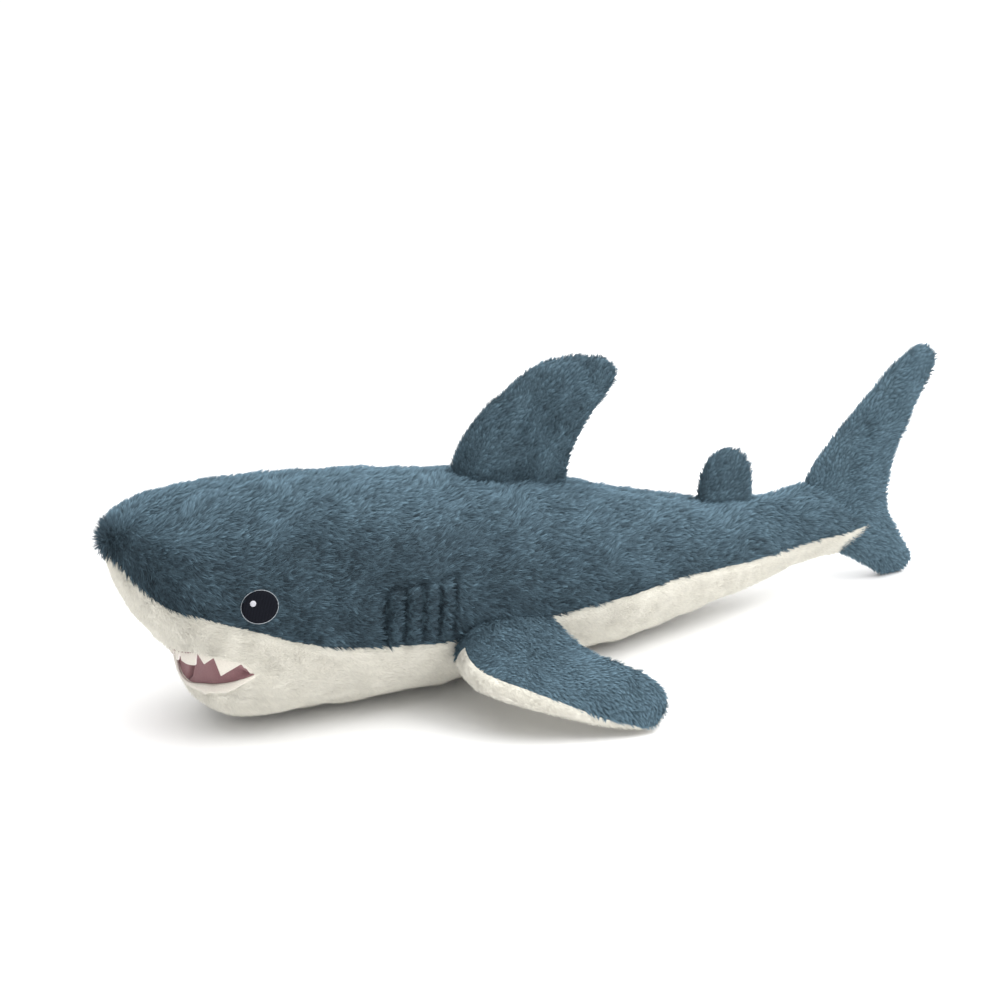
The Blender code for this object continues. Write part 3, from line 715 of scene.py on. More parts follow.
class Nodes:
    """Short calls for building a material's node tree."""

    def __init__(self, name):
        self.material = bpy.data.materials.new(name)
        self.material.use_nodes = True
        self.tree = self.material.node_tree
        self.shader = self.tree.nodes["Principled BSDF"]

    def add(self, kind, **settings):
        node = self.tree.nodes.new(kind)
        for key, value in settings.items():
            setattr(node, key, value)
        return node

    def link(self, source, target):
        self.tree.links.new(source, target)

    def noise(self, scale, detail=3, roughness=0.55, coordinates=None):
        node = self.add("ShaderNodeTexNoise")
        node.inputs["Scale"].default_value = scale
        node.inputs["Detail"].default_value = detail
        node.inputs["Roughness"].default_value = roughness
        self.link(coordinates or self.place(), node.inputs["Vector"])
        return node.outputs["Fac"]

    def place(self):
        return self.add("ShaderNodeTexCoord").outputs["Object"]

    def stretched(self, scale):
        """Object coordinates scaled along each axis."""
        mapping = self.add("ShaderNodeMapping")
        mapping.inputs["Scale"].default_value = scale
        self.link(self.place(), mapping.inputs["Vector"])
        return mapping.outputs["Vector"]

    def ramp(self, source, *stops):
        node = self.add("ShaderNodeValToRGB")
        elements = node.color_ramp.elements
        while len(elements) < len(stops):
            elements.new(0.5)
        for element, (at, colour) in zip(elements, stops):
            element.position = at
            element.color = (*colour, 1)
        self.link(source, node.inputs["Fac"])
        return node.outputs["Color"]

    def mix(self, factor, first, second):
        node = self.add("ShaderNodeMix", data_type="RGBA")
        self.link(factor, node.inputs[0])
        self.link(first, node.inputs[6])
        node.inputs[7].default_value = (*second, 1)
        return node.outputs[2]

    def value(self, operation, first, second):
        node = self.add("ShaderNodeMath", operation=operation)
        for value, socket in ((first, node.inputs[0]), (second, node.inputs[1])):
            if isinstance(value, bpy.types.NodeSocket):
                self.link(value, socket)
            else:
                socket.default_value = value
        return node.outputs[0]

    def attribute(self, name):
        return self.add("ShaderNodeAttribute", attribute_name=name).outputs["Fac"]

    def bump(self, height, strength, distance):
        node = self.add("ShaderNodeBump")
        node.inputs["Strength"].default_value = strength
        node.inputs["Distance"].default_value = distance
        self.link(height, node.inputs["Height"])
        self.link(node.outputs["Normal"], self.shader.inputs["Normal"])

    def surface(self, colour, roughness, sheen=0.0, tint=(1, 1, 1), specular=0.3):
        if isinstance(colour, bpy.types.NodeSocket):
            self.link(colour, self.shader.inputs["Base Color"])
        else:
            self.shader.inputs["Base Color"].default_value = (*colour, 1)
        self.shader.inputs["Roughness"].default_value = roughness
        self.shader.inputs["Sheen Weight"].default_value = sheen
        self.shader.inputs["Sheen Roughness"].default_value = 0.6
        self.shader.inputs["Sheen Tint"].default_value = (*tint, 1)
        self.shader.inputs["Specular IOR Level"].default_value = specular
        return self.material


def shades(colour, *factors):
    return [tuple(min(c * factor, 1) for c in colour) for factor in factors]


def pile_material(name, colour, root_shade, bright, sheen, patchy):
    """Fibres: darker at the root, painted shade deep in the pile, and lighter at the tip, each a little
    different from its neighbours.
    """
    nodes = Nodes(name)
    low, middle, high = shades(colour, root_shade, 1.0, bright)
    along = nodes.ramp(nodes.attribute("tone"), (0.0, low), (0.5, middle), (1.0, high))
    patches = nodes.noise(55, 3)
    cool = tuple(min(c * f, 1) for c, f in zip(colour, (0.82, 0.88, 0.97)))
    factor = nodes.value("MULTIPLY", patches, patchy)
    return nodes.surface(nodes.mix(factor, along, cool), 0.85, sheen, shades(colour, 3.0)[0], 0.25)


def backing_material(name, colour, root_shade):
    """The dense base of the pile, seen between the fibres; its darker tone is painted shade under the fibres.
    """
    nodes = Nodes(name)
    fine = nodes.noise(900, 4, 0.7)
    broad = nodes.noise(60, 3)
    low, high = shades(colour, root_shade, 0.95)
    body = nodes.ramp(fine, (0.3, low), (0.7, high))
    both = nodes.mix(nodes.value("MULTIPLY", broad, 0.4), body, shades(colour, (1 + root_shade) / 2)[0])
    nodes.bump(fine, 0.6, 0.0012)
    return nodes.surface(both, 0.95, 0.3, shades(colour, 2.5)[0], 0.2)


BLUE = (0.074, 0.120, 0.151)
WHITE = (0.82, 0.79, 0.695)
FELT = (0.74, 0.70, 0.62)
MAUVE = (0.235, 0.118, 0.128)


def felt_material():
    nodes = Nodes("felt")
    fibres = nodes.noise(1500, 5, 0.75)
    clouds = nodes.noise(120, 3)
    low, high = shades(FELT, 0.80, 1.06)
    colour = nodes.ramp(fibres, (0.25, low), (0.75, high))
    worn = nodes.mix(nodes.value("MULTIPLY", clouds, 0.25), colour, (0.70, 0.62, 0.55))
    nodes.bump(fibres, 0.5, 0.0006)
    return nodes.surface(worn, 0.9, 0.35, (1, 0.98, 0.95), 0.2)


def felt_edge_material():
    """The cut edge of the felt, paler than its faces."""
    nodes = Nodes("felt_edge")
    fibres = nodes.noise(1800, 4, 0.7)
    colour = nodes.ramp(fibres, (0.3, (0.90, 0.83, 0.78)), (0.7, (0.97, 0.93, 0.89)))
    return nodes.surface(colour, 0.85, 0.3, (1, 1, 1), 0.2)


def lining_material():
    """Brushed tricot: a fine knit that wanders in tone, with painted shade along its fold."""
    nodes = Nodes("mouth_lining")
    knit = nodes.noise(1400, 3, 0.6, nodes.stretched((1, 1, 2.2)))
    clouds = nodes.noise(90, 4)
    low, high = shades(MAUVE, 0.72, 1.2)
    colour = nodes.ramp(knit, (0.3, low), (0.7, high))
    pinker = nodes.mix(nodes.value("MULTIPLY", clouds, 0.4), colour, (0.30, 0.165, 0.165))
    # painted shade along the lining's fold
    fold_shade = shades(MAUVE, 0.3)[0]
    shaded = nodes.mix(nodes.attribute("fold"), pinker, fold_shade)
    nodes.bump(knit, 0.45, 0.0006)
    return nodes.surface(shaded, 0.85, 0.4, (0.8, 0.6, 0.62), 0.2)


def eye_material():
    """Black satin stitch with a trace of blue."""
    nodes = Nodes("eye_satin")
    threads = nodes.add("ShaderNodeTexWave", bands_direction="X")
    threads.inputs["Scale"].default_value = 420
    threads.inputs["Distortion"].default_value = 1.2
    nodes.link(nodes.place(), threads.inputs["Vector"])
    colour = nodes.ramp(threads.outputs["Fac"], (0.1, (0.003, 0.0035, 0.006)), (0.9, (0.008, 0.009, 0.014)))
    nodes.bump(threads.outputs["Fac"], 0.25, 0.0002)
    return nodes.surface(colour, 0.6, 0, (1, 1, 1), 0.06)


def thread_material(name, colour):
    nodes = Nodes(name)
    twist = nodes.noise(2200, 2, 0.5)
    low, high = shades(colour, 0.65, 1.3)
    nodes.bump(twist, 0.5, 0.0003)
    return nodes.surface(nodes.ramp(twist, (0.3, low), (0.7, high)), 0.6, 0.2, (1, 1, 1), 0.35)


# ---------------------------------------------------------------- pile

CALM_X, CALM_TOP = -200, 92
CALM_REACH = 6.5
NOSE = np.array((-262.0, 0.0, 116.0))
CHIN_TOP = np.array((-210.0, 0.0, 52.0))
NOSE_REACH = 11                # the nose's fibres stand up and are longer within about this distance
# How much the fibres differ from each other
HEADING_SPREAD, LEAN_SPREAD, LENGTH_SPREAD = 0.22, 0.12, 0.12
LEAST_LEAN, MOST_LEAN = 0.12, 1.35
ROOT_DEPTH = 0.5               # fibres start this far under the skin
LOWEST_FIBRE = 0.15


def triangles_of(mesh):
    mesh.calc_loop_triangles()
    flat = np.empty(len(mesh.loop_triangles) * 3, int)
    mesh.loop_triangles.foreach_get("vertices", flat)
    return flat.reshape(-1, 3)


def calm_normals(at, normals):
    """The muzzle's normals evened out over a few millimetres, so its fibres lie smoothly."""
    muzzle = np.nonzero((at[:, 0] < CALM_X) & (at[:, 2] < CALM_TOP))[0]
    tree = KDTree(len(muzzle))
    for i in muzzle:
        tree.insert(at[i], int(i))
    tree.balance()
    calm = normals.copy()
    for i in muzzle:
        near = normals[[found[1] for found in tree.find_range(at[i], CALM_REACH)]]
        calm[i] = near[near @ normals[i] > 0.3].sum(0)
    return unit(calm)


def scatter(mesh, owners, density, rng):
    """Places spread over the owners' faces, density to the square millimetre: points, normals, owners."""
    corners = triangles_of(mesh)
    polygons = np.array([triangle.polygon_index for triangle in mesh.loop_triangles])
    owner = np.empty(len(mesh.polygons), int)
    mesh.polygons.foreach_get("material_index", owner)
    owner = owner[polygons]
    wanted = np.isin(owner, owners)
    corners, owner = corners[wanted], owner[wanted]
    at = points_of(mesh) / MM
    out = calm_normals(at, normals_of(mesh))
    a, b, c = (at[corners[:, i]] for i in range(3))
    areas = np.linalg.norm(np.cross(b - a, c - a), axis=1) / 2
    total = areas.sum()
    count = int(total * density)
    steps = (np.arange(count) + rng.uniform(0, 1, count)) / count * total
    chosen = np.minimum(np.searchsorted(np.cumsum(areas), steps), len(corners) - 1)
    first, second = np.sqrt(rng.uniform(0, 1, count)), rng.uniform(0, 1, count)
    weights = np.c_[1 - first, first * (1 - second), first * second]
    spots = (at[corners[chosen]] * weights[:, :, None]).sum(1)
    normals = (out[corners[chosen]] * weights[:, :, None]).sum(1)
    return spots, unit(normals), owner[chosen]


def unit(vectors):
    return vectors / np.maximum(np.linalg.norm(vectors, axis=1), 1e-9)[:, None]


def turned(vectors, axes, angles):
    """Each vector turned about its own axis."""
    c, s = np.cos(angles)[:, None], np.sin(angles)[:, None]
    return vectors * c + np.cross(axes, vectors) * s + axes * (vectors * axes).sum(1)[:, None] * (1 - c)


def groomed(spots, normals, flow, length, lean, swirl, clump, rng):
    """Each fibre's tip: it leans along the flow, swirls from place to place and gathers into tufts."""
    along = flow(spots, normals)
    along = unit(along - normals * (along * normals).sum(1)[:, None])
    wander = swirl * ripples(spots, SWIRLS)
    along = turned(along, normals, wander + rng.normal(0, HEADING_SPREAD, len(spots)))
    rise = lean * (1 + 0.32 * ripple(spots, 8, 8)) + rng.normal(0, LEAN_SPREAD, len(spots))
    on_nose = bell(np.linalg.norm(spots - NOSE, axis=1), NOSE_REACH)
    rise = np.clip(rise + 0.5 * on_nose, LEAST_LEAN, MOST_LEAN)[:, None]
    spread = rng.normal(0, LENGTH_SPREAD, len(spots))
    reach = length * (1 + 0.12 * ripple(spots, 13, 9) + spread + 0.7 * on_nose)
    tips = spots + reach[:, None] * (np.cos(rise) * along + np.sin(rise) * normals)
    size, pull = clump
    leaders = np.arange(0, len(spots), size)
    tree = KDTree(len(leaders))
    for i in leaders:
        tree.insert(spots[i], int(i))
    tree.balance()
    nearest = np.array([tree.find(p)[1] for p in spots])
    strength = pull * rng.uniform(0.5, 1.3, len(spots))[:, None]
    tips += (tips[nearest] - tips) * strength
    tuft = rng.normal(0, 1, len(spots))[nearest]
    return tips, tuft


def fibres(name, spots, normals, tips, tuft, light, width, rng):
    """One thin closed spike per fibre, with a tone and a place of its own in the colour map."""
    count = len(spots)
    along = unit(tips - spots)
    side = unit(np.cross(normals, along))
    up = np.cross(along, side)
    thick = width * rng.uniform(0.75, 1.25, count)[:, None]
    roots = spots - normals * ROOT_DEPTH
    base = np.stack(
        [roots + side * thick / 2, roots - side * thick / 2, roots + up * thick * 0.55, tips], axis=1
    )
    base[:, :, 2] = np.maximum(base[:, :, 2], LOWEST_FIBRE)
    vertices = (base * MM).reshape(-1, 3)
    offsets = (np.arange(count) * 4)[:, None]
    pattern = np.array((0, 1, 2, 0, 2, 3, 2, 1, 3, 1, 0, 3))
    corners = (offsets + pattern).ravel()
    mesh = bpy.data.meshes.new(name)
    mesh.vertices.add(count * 4)
    mesh.vertices.foreach_set("co", vertices.ravel())
    mesh.loops.add(count * 12)
    mesh.loops.foreach_set("vertex_index", corners)
    mesh.polygons.add(count * 4)
    mesh.polygons.foreach_set("loop_start", np.arange(0, count * 12, 3))
    mesh.update(calc_edges=True)
    mesh.shade_smooth()

    each = rng.normal(0, 0.17, count) + 0.18 * tuft + ripples(spots, TONE_PATCHES) + light
    # a low tone at the root: painted shade deep in the pile
    root = 0.08 + each * 0.3
    tone = np.stack([root, root, root + 0.04, 0.63 + each], axis=1)
    layer = mesh.attributes.new("tone", "FLOAT", "POINT")
    layer.data.foreach_set("value", np.clip(tone, 0, 1).astype(np.float32).ravel())

    grid = math.ceil(math.sqrt(count))
    column, row = np.arange(count) % grid, np.arange(count) // grid
    spot_u = np.array((0.15, 0.85, 0.5, 0.5))[pattern % 4]
    spot_v = np.array((0.15, 0.15, 0.2, 0.85))[pattern % 4]
    coordinates = np.stack([(column[:, None] + spot_u) / grid, (row[:, None] + spot_v) / grid], axis=2)
    uv = mesh.uv_layers.new(name="OFBake")
    uv.data.foreach_set("uv", coordinates.astype(np.float32).ravel())

    soft = np.repeat(normals, 4, axis=0) * 0.6
    own = np.stack([side, -side, up, along * 0.4 + up * 0.4], axis=1).reshape(-1, 3)
    mesh.normals_split_custom_set_from_vertices([tuple(v) for v in unit(soft + own * 0.8)])
    return linked(name, mesh)


def backwards(spots, normals):
    """The nap runs from nose to tail, fans out from the nose and runs down the chin."""
    x, _, z = spots.T
    flow = np.tile((1.0, 0.0, -0.05), (len(spots), 1))
    near = fade_in(x, -212, -26)[:, None]
    flow = flow * (1 - near) + unit(spots - NOSE) * near * 1.2
    chin = (fade_in(x, -178, -22) * fade_in(z, 50, -8))[:, None]
    return flow * (1 - chin) + unit(spots - CHIN_TOP) * chin


def outwards(axes, rearward):
    """On a fin the nap runs from the root to the tip and a little to the rear."""
    direction = axes[2] + axes[0] * rearward

    def flow(spots, normals):
        return np.tile(direction, (len(spots), 1))

    return flow


def clear_of_eyes(spots):
    across = (spots[:, 0] - EYE_X + 1.3) / (EYE_WIDE + 1.9)
    return (np.hypot(across, (spots[:, 2] - EYE_Z) / (EYE_TALL + 0.8)) > 1) | (np.abs(spots[:, 1]) < 25)


PILE = {
    "blue": dict(length=4.3, width=0.56, lean=0.50, swirl=0.6, clump=(7, 0.62)),
    "white": dict(length=2.5, width=0.62, lean=0.62, swirl=0.5, clump=(12, 0.2)),
}


def crevices(spots):
    """Darker where little light reaches: in the gill pleats."""
    x, y, z = spots.T
    height = fade_in(z - GILL_LOW, -5, 6) * fade_in(z, GILL_HIGH + 6, -6) * (np.abs(y) > FLANK_Y)
    depth = sum(bell(x - line - gill_lean(z), 1.7) for line in GILL_XS)
    return 0.75 * depth * height


def body_painted_light(spots, normals):
    """Painted light and shade on the pile: paler along the back, where it faces up, and at the rear; painted
    shade on the head's flanks, in the gill pleats and along the seam with the tail fin.
    """
    x, _, z = spots.T
    up = np.clip(normals[:, 2], 0, 1)
    head = fade_in(x, -20, -80) * fade_in(z, 40, 20)
    head_side = head * (0.10 * (1 - up) + 0.22 * bell(up - 0.5, 0.25))
    # painted shade in the crease where the body meets the tail fin
    end_seam = bell(x - piecewise(TAIL_LINE, z), 2.5)
    # painted light on pile that faces up and at the rear, painted shade on the head's flanks
    broad = 0.36 * (up - 0.56) - head_side + 0.18 * fade_in(x, 60, 80)
    return broad - crevices(spots) - 0.3 * end_seam


# The same painted light over a whole piece: zero on the white pile, a trace on the dorsal fins, strong on the
# tail fin
def even_painted_light(amount):
    def painted_light(spots, normals):
        return np.full(len(spots), amount)

    return painted_light


def tip_painted_light(place, axes, amount):
    """Painted light: paler towards a fin's tip."""
    def painted_light(spots, normals):
        return amount * fade_in((spots - place) @ axes[2], -10, 70)

    return painted_light


def pile(form, names, kind, density, flow, material, seed, painted_light, keep=None, **changes):
    """The pile of all the panels in names (owner to name), groomed together; one object for each."""
    rng = np.random.default_rng(seed)
    settings = {**PILE[kind], **changes}
    spots, normals, owners = scatter(form.data, list(names), density, rng)
    if keep is not None:
        chosen = keep(spots)
        spots, normals, owners = spots[chosen], normals[chosen], owners[chosen]
    tips, tuft = groomed(
        spots, normals, flow, settings["length"], settings["lean"], settings["swirl"], settings["clump"], rng
    )
    # painted light and shade, added to each fibre's tone
    light = painted_light(spots, normals)
    grown = {}
    for owner, name in names.items():
        own = owners == owner
        mine = (values[own] for values in (spots, normals, tips, tuft, light))
        obj = fibres(name + "_pile", *mine, settings["width"], rng)
        obj.data.materials.append(material)
        grown[name] = obj
    return grown


# ---------------------------------------------------------------- mouth

MOUTH_COLUMNS = 81
FOLD_AT = -0.08                # the fold of the mouth's lining, as a share of the way to a corner
MOUTH_BACK = np.array((-190.0, 0, 0))
LINING_ROWS = 14


def round_mouth(left):
    """A rim's left half, corner first, as a whole rim of evenly spaced points."""
    left[-1, 1] = 0
    whole = mirrored(left)
    along = lengths_along(whole)
    even = np.linspace(0, along[-1], MOUTH_COLUMNS)
    return np.stack([np.interp(even, along, whole[:, k]) for k in range(3)], axis=1)


def upper_rim():
    share = np.linspace(0, 1, 300) ** 2.2
    xs = CORNER_X + (MUZZLE_X - CORNER_X) * (1 - share[::-1])
    angles = [np.array([angle_at(x, piecewise(UPPER_RIM, x))]) for x in xs]
    return round_mouth(np.array([on_section(x, angle)[0] for x, angle in zip(xs, angles)]))


def lower_rim():
    return round_mouth(np.array([(x, -half, rim) for x, half, rim, _ in JAW[::-1]], float))


def inset(curve, distance):
    """The curve moved towards the back of the mouth."""
    return curve + unit(MOUTH_BACK - curve * (1, 1, 0)) * distance


def grid_object(name, rows):
    """A sheet through rows of points."""
    points = np.array(rows).reshape(-1, 3)
    wide = len(rows[0])
    faces = [
        (k * wide + i, k * wide + i + 1, (k + 1) * wide + i + 1, (k + 1) * wide + i)
        for k in range(len(rows) - 1) for i in range(wide - 1)
    ]
    obj = make_object(name, points, faces)
    obj.data.shade_smooth()
    return obj


def mouth_lining(material):
    """A shallow pocket behind the lips with a fold down its middle."""
    upper, lower = inset(upper_rim(), 1.4), inset(lower_rim(), 1.2)
    t = np.linspace(-1, 1, MOUTH_COLUMNS)
    wall_x = -198 - 16 * (1 - np.abs(t) ** 2)
    rows = []
    for v in np.linspace(0, 1, LINING_ROWS):
        lips = upper * (1 - v) + lower * v
        wall = np.stack([wall_x, lips[:, 1] * 0.92, lips[:, 2]], axis=1)
        depth = math.sin(math.pi * v) ** 0.45
        row = lips + (wall - lips) * depth
        row[:, 0] += 5.0 * bell(t - FOLD_AT, 0.03) * depth
        row += 0.35 * ripple(row, 9, 3)[:, None] * depth
        rows.append(row)
    obj = grid_object("mouth_lining", rows)
    # painted shade along the fold, read by the lining's material
    fold = np.tile(0.9 * bell(t - FOLD_AT, 0.022), LINING_ROWS)
    layer = obj.data.attributes.new("fold", "FLOAT", "POINT")
    layer.data.foreach_set("value", fold.astype(np.float32))
    subdivided(obj)
    thicken(obj, -0.8)
    obj.data.materials.append(material)
    obj.data.shade_smooth()
    return obj


# Upper teeth: share of the rim from corner to middle, depth, how far inside the lip
TEETH = (
    (0.0, 0.4, 1.2), (0.05, 1.3, 1.2), (0.08, 0.5, 1.2), (0.11, 1.2, 1.2), (0.135, 0.3, 1.3),
    (0.288, 10.5, 1.4),
    (0.33, 0.4, 1.5), (0.404, 6, 1.6), (0.453, 0.3, 1.8), (0.478, 8.5, 2), (0.60, 8, 3), (0.70, 7.5, 4.2),
    (0.74, 3, 4.8), (0.86, 10, 6), (0.93, 11.5, 6.6), (1.0, 5, 7),
)
TOOTH_COLUMNS = 321
FELT_THICKNESS = 1.0


def resampled(curve, count):
    along = np.linspace(0, 1, len(curve))
    return np.stack([np.interp(np.linspace(0, 1, count), along, curve[:, k]) for k in range(3)], axis=1)


def felt_strip(name, rows, felt, edge):
    """A sheet of felt through the rows, with its own material on the cut edges."""
    obj = grid_object(name, rows)
    obj.data.materials.append(felt)
    obj.data.materials.append(edge)
    solid = obj.modifiers.new("felt", "SOLIDIFY")
    solid.thickness = FELT_THICKNESS * MM
    solid.offset = 0
    solid.material_offset_rim = 1
    return applied(obj)


def upper_teeth(felt, edge):
    rim = resampled(upper_rim(), TOOTH_COLUMNS)
    share = 1 - np.abs(np.linspace(-1, 1, TOOTH_COLUMNS))
    table = np.array(TEETH)
    depth = np.interp(share, table[:, 0], table[:, 1])
    behind_lip = np.interp(share, table[:, 0], table[:, 2])
    rows = []
    for v in (-0.35, 0, 0.35, 0.7, 1):
        drop = np.where(v < 0, 5.0 * v, depth * v)
        row = inset(rim, (behind_lip + 0.10 * np.maximum(drop, 0))[:, None])
        row[:, 2] -= drop
        rows.append(row)
    return felt_strip("upper_teeth", rows, felt, edge)


LIP_HEIGHT = 4.4


def lower_lip(felt, edge):
    rim = resampled(lower_rim(), TOOTH_COLUMNS)
    t = np.abs(np.linspace(-1, 1, TOOTH_COLUMNS))
    side = fade_in(t, 0.15, 0.25)
    tall = (LIP_HEIGHT + ripples(rim, FRAY)) * np.clip((1 - t) / 0.3, 0.2, 1) * (0.35 + 0.65 * side)
    lift = 0.5 + 0.3 * ripple(rim, 7, 5)
    rows = []
    for v in np.linspace(0, 1, 6):
        bulge = 0.3 + 1.5 * math.sin(v * 2.2) * fade_in(t, 1, -0.15) * (0.2 + 0.8 * side)
        row = inset(rim, -bulge[:, None])
        row[:, 2] += lift - (tall + lift) * v
        rows.append(row)
    return felt_strip("lower_lip", rows, felt, edge)


# ---------------------------------------------------------------- eyes and gill threads

def on_skin(tree, x, z, side):
    """The skin's surface at a place on its flank, and the frame there: across, up, out."""
    place, normal, _, _ = tree.ray_cast(Vector((x, side * 200, z)) * MM, Vector((0, -side, 0)))
    out = normal if normal.y * side > 0 else -normal
    across = Vector((0, 0, 1)).cross(out).normalized()
    return place, Matrix((across, out.cross(across), out)).transposed()


def circle(spokes):
    """The cosine and sine of each spoke."""
    angles = [2 * math.pi * spoke / spokes for spoke in range(spokes)]
    return [(math.cos(a), math.sin(a)) for a in angles]


def oval_dome(name, wide, tall, rise, lift, place, axes, rings=14, spokes=72):
    """A low dome with a rounded edge."""
    points, faces = [(0, 0, rise + lift)], []
    for ring in range(1, rings + 1):
        share = ring / rings
        height = rise * max(1 - share**5, 0) ** 0.5
        points += [(wide * share * c, tall * share * s, height + lift) for c, s in circle(spokes)]
    points += [(wide * c, tall * s, -2.5) for c, s in circle(spokes)]
    for spoke in range(spokes):
        faces.append((0, 1 + spoke, 1 + (spoke + 1) % spokes))
    for ring in range(rings):
        for spoke in range(spokes):
            a, b = 1 + ring * spokes + spoke, 1 + ring * spokes + (spoke + 1) % spokes
            faces.append((a, a + spokes, b + spokes, b))
    faces.append(tuple(1 + rings * spokes + i for i in range(spokes))[::-1])
    turned_points = [place / MM + axes @ Vector(p) for p in points]
    obj = make_object(name, turned_points, faces)
    obj.data.shade_smooth()
    obj.data.set_sharp_from_angle(angle=SHARP_ANGLE)
    return obj


def tube(name, path, radius, closed):
    """A round thread along the path, its surface twisted like yarn."""
    spokes = 8
    path = [Vector(p) for p in path]
    count = len(path)
    points, faces = [], []
    for i, p in enumerate(path):
        before = path[i - 1] if i > 0 or closed else p
        after = path[(i + 1) % count] if i < count - 1 or closed else p
        along = (after - before).normalized()
        side = along.cross(Vector((0.3, 0.2, 1))).normalized()
        up = along.cross(side)
        for k in range(spokes):
            a = 2 * math.pi * k / spokes + i * 0.35
            r = radius * (1 + 0.12 * math.cos(2 * (a - i * 0.9)))
            points.append(p + side * math.cos(a) * r + up * math.sin(a) * r)
    last = count if closed else count - 1
    for i in range(last):
        j = (i + 1) % count
        for k in range(spokes):
            m = (k + 1) % spokes
            faces.append((i * spokes + k, j * spokes + k, j * spokes + m, i * spokes + m))
    if not closed:
        faces.append(tuple(range(spokes)))
        faces.append(tuple((count - 1) * spokes + k for k in range(spokes))[::-1])
    obj = make_object(name, points, faces)
    obj.data.shade_smooth()
    return obj


EYE_LIFT = 1.3                 # how far the eye's rim stands off the skin


def eye_set(tree, side, word, black, grey, glint):
    place, axes = on_skin(tree, EYE_X, EYE_Z, side)
    eye = oval_dome("eye_" + word, EYE_WIDE, EYE_TALL, 1.1, EYE_LIFT, place, axes)
    eye.data.materials.append(black)
    wide, tall = EYE_WIDE + 0.1, EYE_TALL + 0.1
    ring = [place / MM + axes @ Vector((wide * c, tall * s, EYE_LIFT + 0.25)) for c, s in circle(96)]
    rim = tube("eye_rim_" + word, ring, 0.18, True)
    rim.data.materials.append(grey)
    spot = place + axes @ Vector((side * 3.4, 2.3, 0)) * MM
    light = oval_dome("eye_glint_" + word, 1.7, 1.7, 0.35, EYE_LIFT + 1.0, spot, axes, 5, 24)
    light.data.materials.append(glint)
    fit(eye, "trunk", "eye_black", "eye_" + word)
    fit(rim, "trunk", "eye_thread", "eye_rim_" + word)
    fit(light, "trunk", "eye_white", "eye_glint_" + word)


def gill_threads(tree, side, word, material):
    for number, x in enumerate(GILL_XS, start=1):
        path = []
        for z in np.linspace(GILL_LOW, GILL_HIGH, 30):
            place, axes = on_skin(tree, x + gill_lean(z), z, side)
            path.append(place / MM + axes @ Vector((0, 0, 0.3)))
        name = f"gill_stitch_{word}_{number}"
        obj = tube(name, path, 0.45, False)
        obj.data.materials.append(material)
        fit(obj, "trunk", "gill_thread", name)


# ---------------------------------------------------------------- studio

CAMERA_AZIMUTH, CAMERA_ELEVATION = -26, 22
CAMERA_DISTANCE = 1.2343
CAMERA_TARGET = (-0.0314, 0, 0.0966)
LENS = 80
FLOOR_REACH = 8000


def studio():
    scene = bpy.context.scene
    scene.view_settings.view_transform = "Standard"
    azimuth, elevation = math.radians(CAMERA_AZIMUTH), math.radians(CAMERA_ELEVATION)
    level = math.cos(elevation)
    back = Vector((math.sin(azimuth) * level, -math.cos(azimuth) * level, math.sin(elevation)))
    camera = linked("camera", bpy.data.cameras.new("camera"))
    camera.data.lens = LENS
    camera.data.sensor_width = 36
    camera.location = Vector(CAMERA_TARGET) + back * CAMERA_DISTANCE
    camera.rotation_euler = (-back).to_track_quat("-Z", "Y").to_euler()
    scene.camera = camera

    world = bpy.data.worlds.new("studio")
    world.use_nodes = True
    background = world.node_tree.nodes["Background"]
    background.inputs["Color"].default_value = (1, 1, 1, 1)
    background.inputs["Strength"].default_value = 0.84
    scene.world = world

    corners = [(x * FLOOR_REACH, y * FLOOR_REACH, 0) for x, y in ((-1, -1), (1, -1), (1, 1), (-1, 1))]
    floor = make_object("floor", corners, [(0, 1, 2, 3)])
    nodes = Nodes("floor")
    grain = nodes.noise(3, 2)
    colour = nodes.ramp(grain, (0.3, (0.90, 0.90, 0.90)), (0.7, (0.93, 0.93, 0.93)))
    floor.data.materials.append(nodes.surface(colour, 0.7, 0, (1, 1, 1), 0.2))

    def lamp(name, place, target, size, power):
        light = bpy.data.lights.new(name, "AREA")
        light.shape = "RECTANGLE"
        light.size, light.size_y = size
        light.energy = power
        obj = linked(name, light)
        obj.location = place
        obj.rotation_euler = (Vector(target) - Vector(place)).to_track_quat("-Z", "Y").to_euler()

    lamp("key", (0.9, -0.9, 1.3), (0.1, 0, 0.05), (1.2, 1.2), 19)
    lamp("overhead", (0.1, 0.1, 2.1), (0, 0, 0.05), (3.0, 3.0), 54)


# ---------------------------------------------------------------- build

BLEND = {
    "rear": ("trunk", "rear_body", (28, 0, 45), (104, 0, 45)),
    "chin": ("jaw", "trunk", (-204, 0, 25), (-168, 0, 25)),
    "tail": ("rear_body", "tail_fin", (157, 0, 36), (213, 0, 36)),
}


def attach(obj, how):
    how = BLEND.get(how, how) if isinstance(how, str) else how
    if isinstance(how, tuple):
        first, second, start, end = how
        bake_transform(obj)
    else:
        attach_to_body(obj, how)


def fit(obj, how, slot, *nodes):
    """Ties a piece to its body, or for a blend between two bodies only fixes its place, and hides the CAD
    pieces it stands for; its colour slot is not used.
    """
    attach(obj, how)
    if nodes:
        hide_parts(*nodes)


def sewn(form, owner, name, kind, fur, how, cloth, slot, nodes, materials):
    """One panel of skin and its pile; cloth is the panel's thickness and how full its stuffing is, and that
    fullness is not used.
    """
    thickness, fill = cloth
    panel = split_off(form, name, owner)
    thicken(panel, thickness)
    panel.data.materials.clear()
    panel.data.materials.append(materials[kind + "_backing"])
    fit(panel, how, slot, *nodes)
    fit(fur, how, slot)


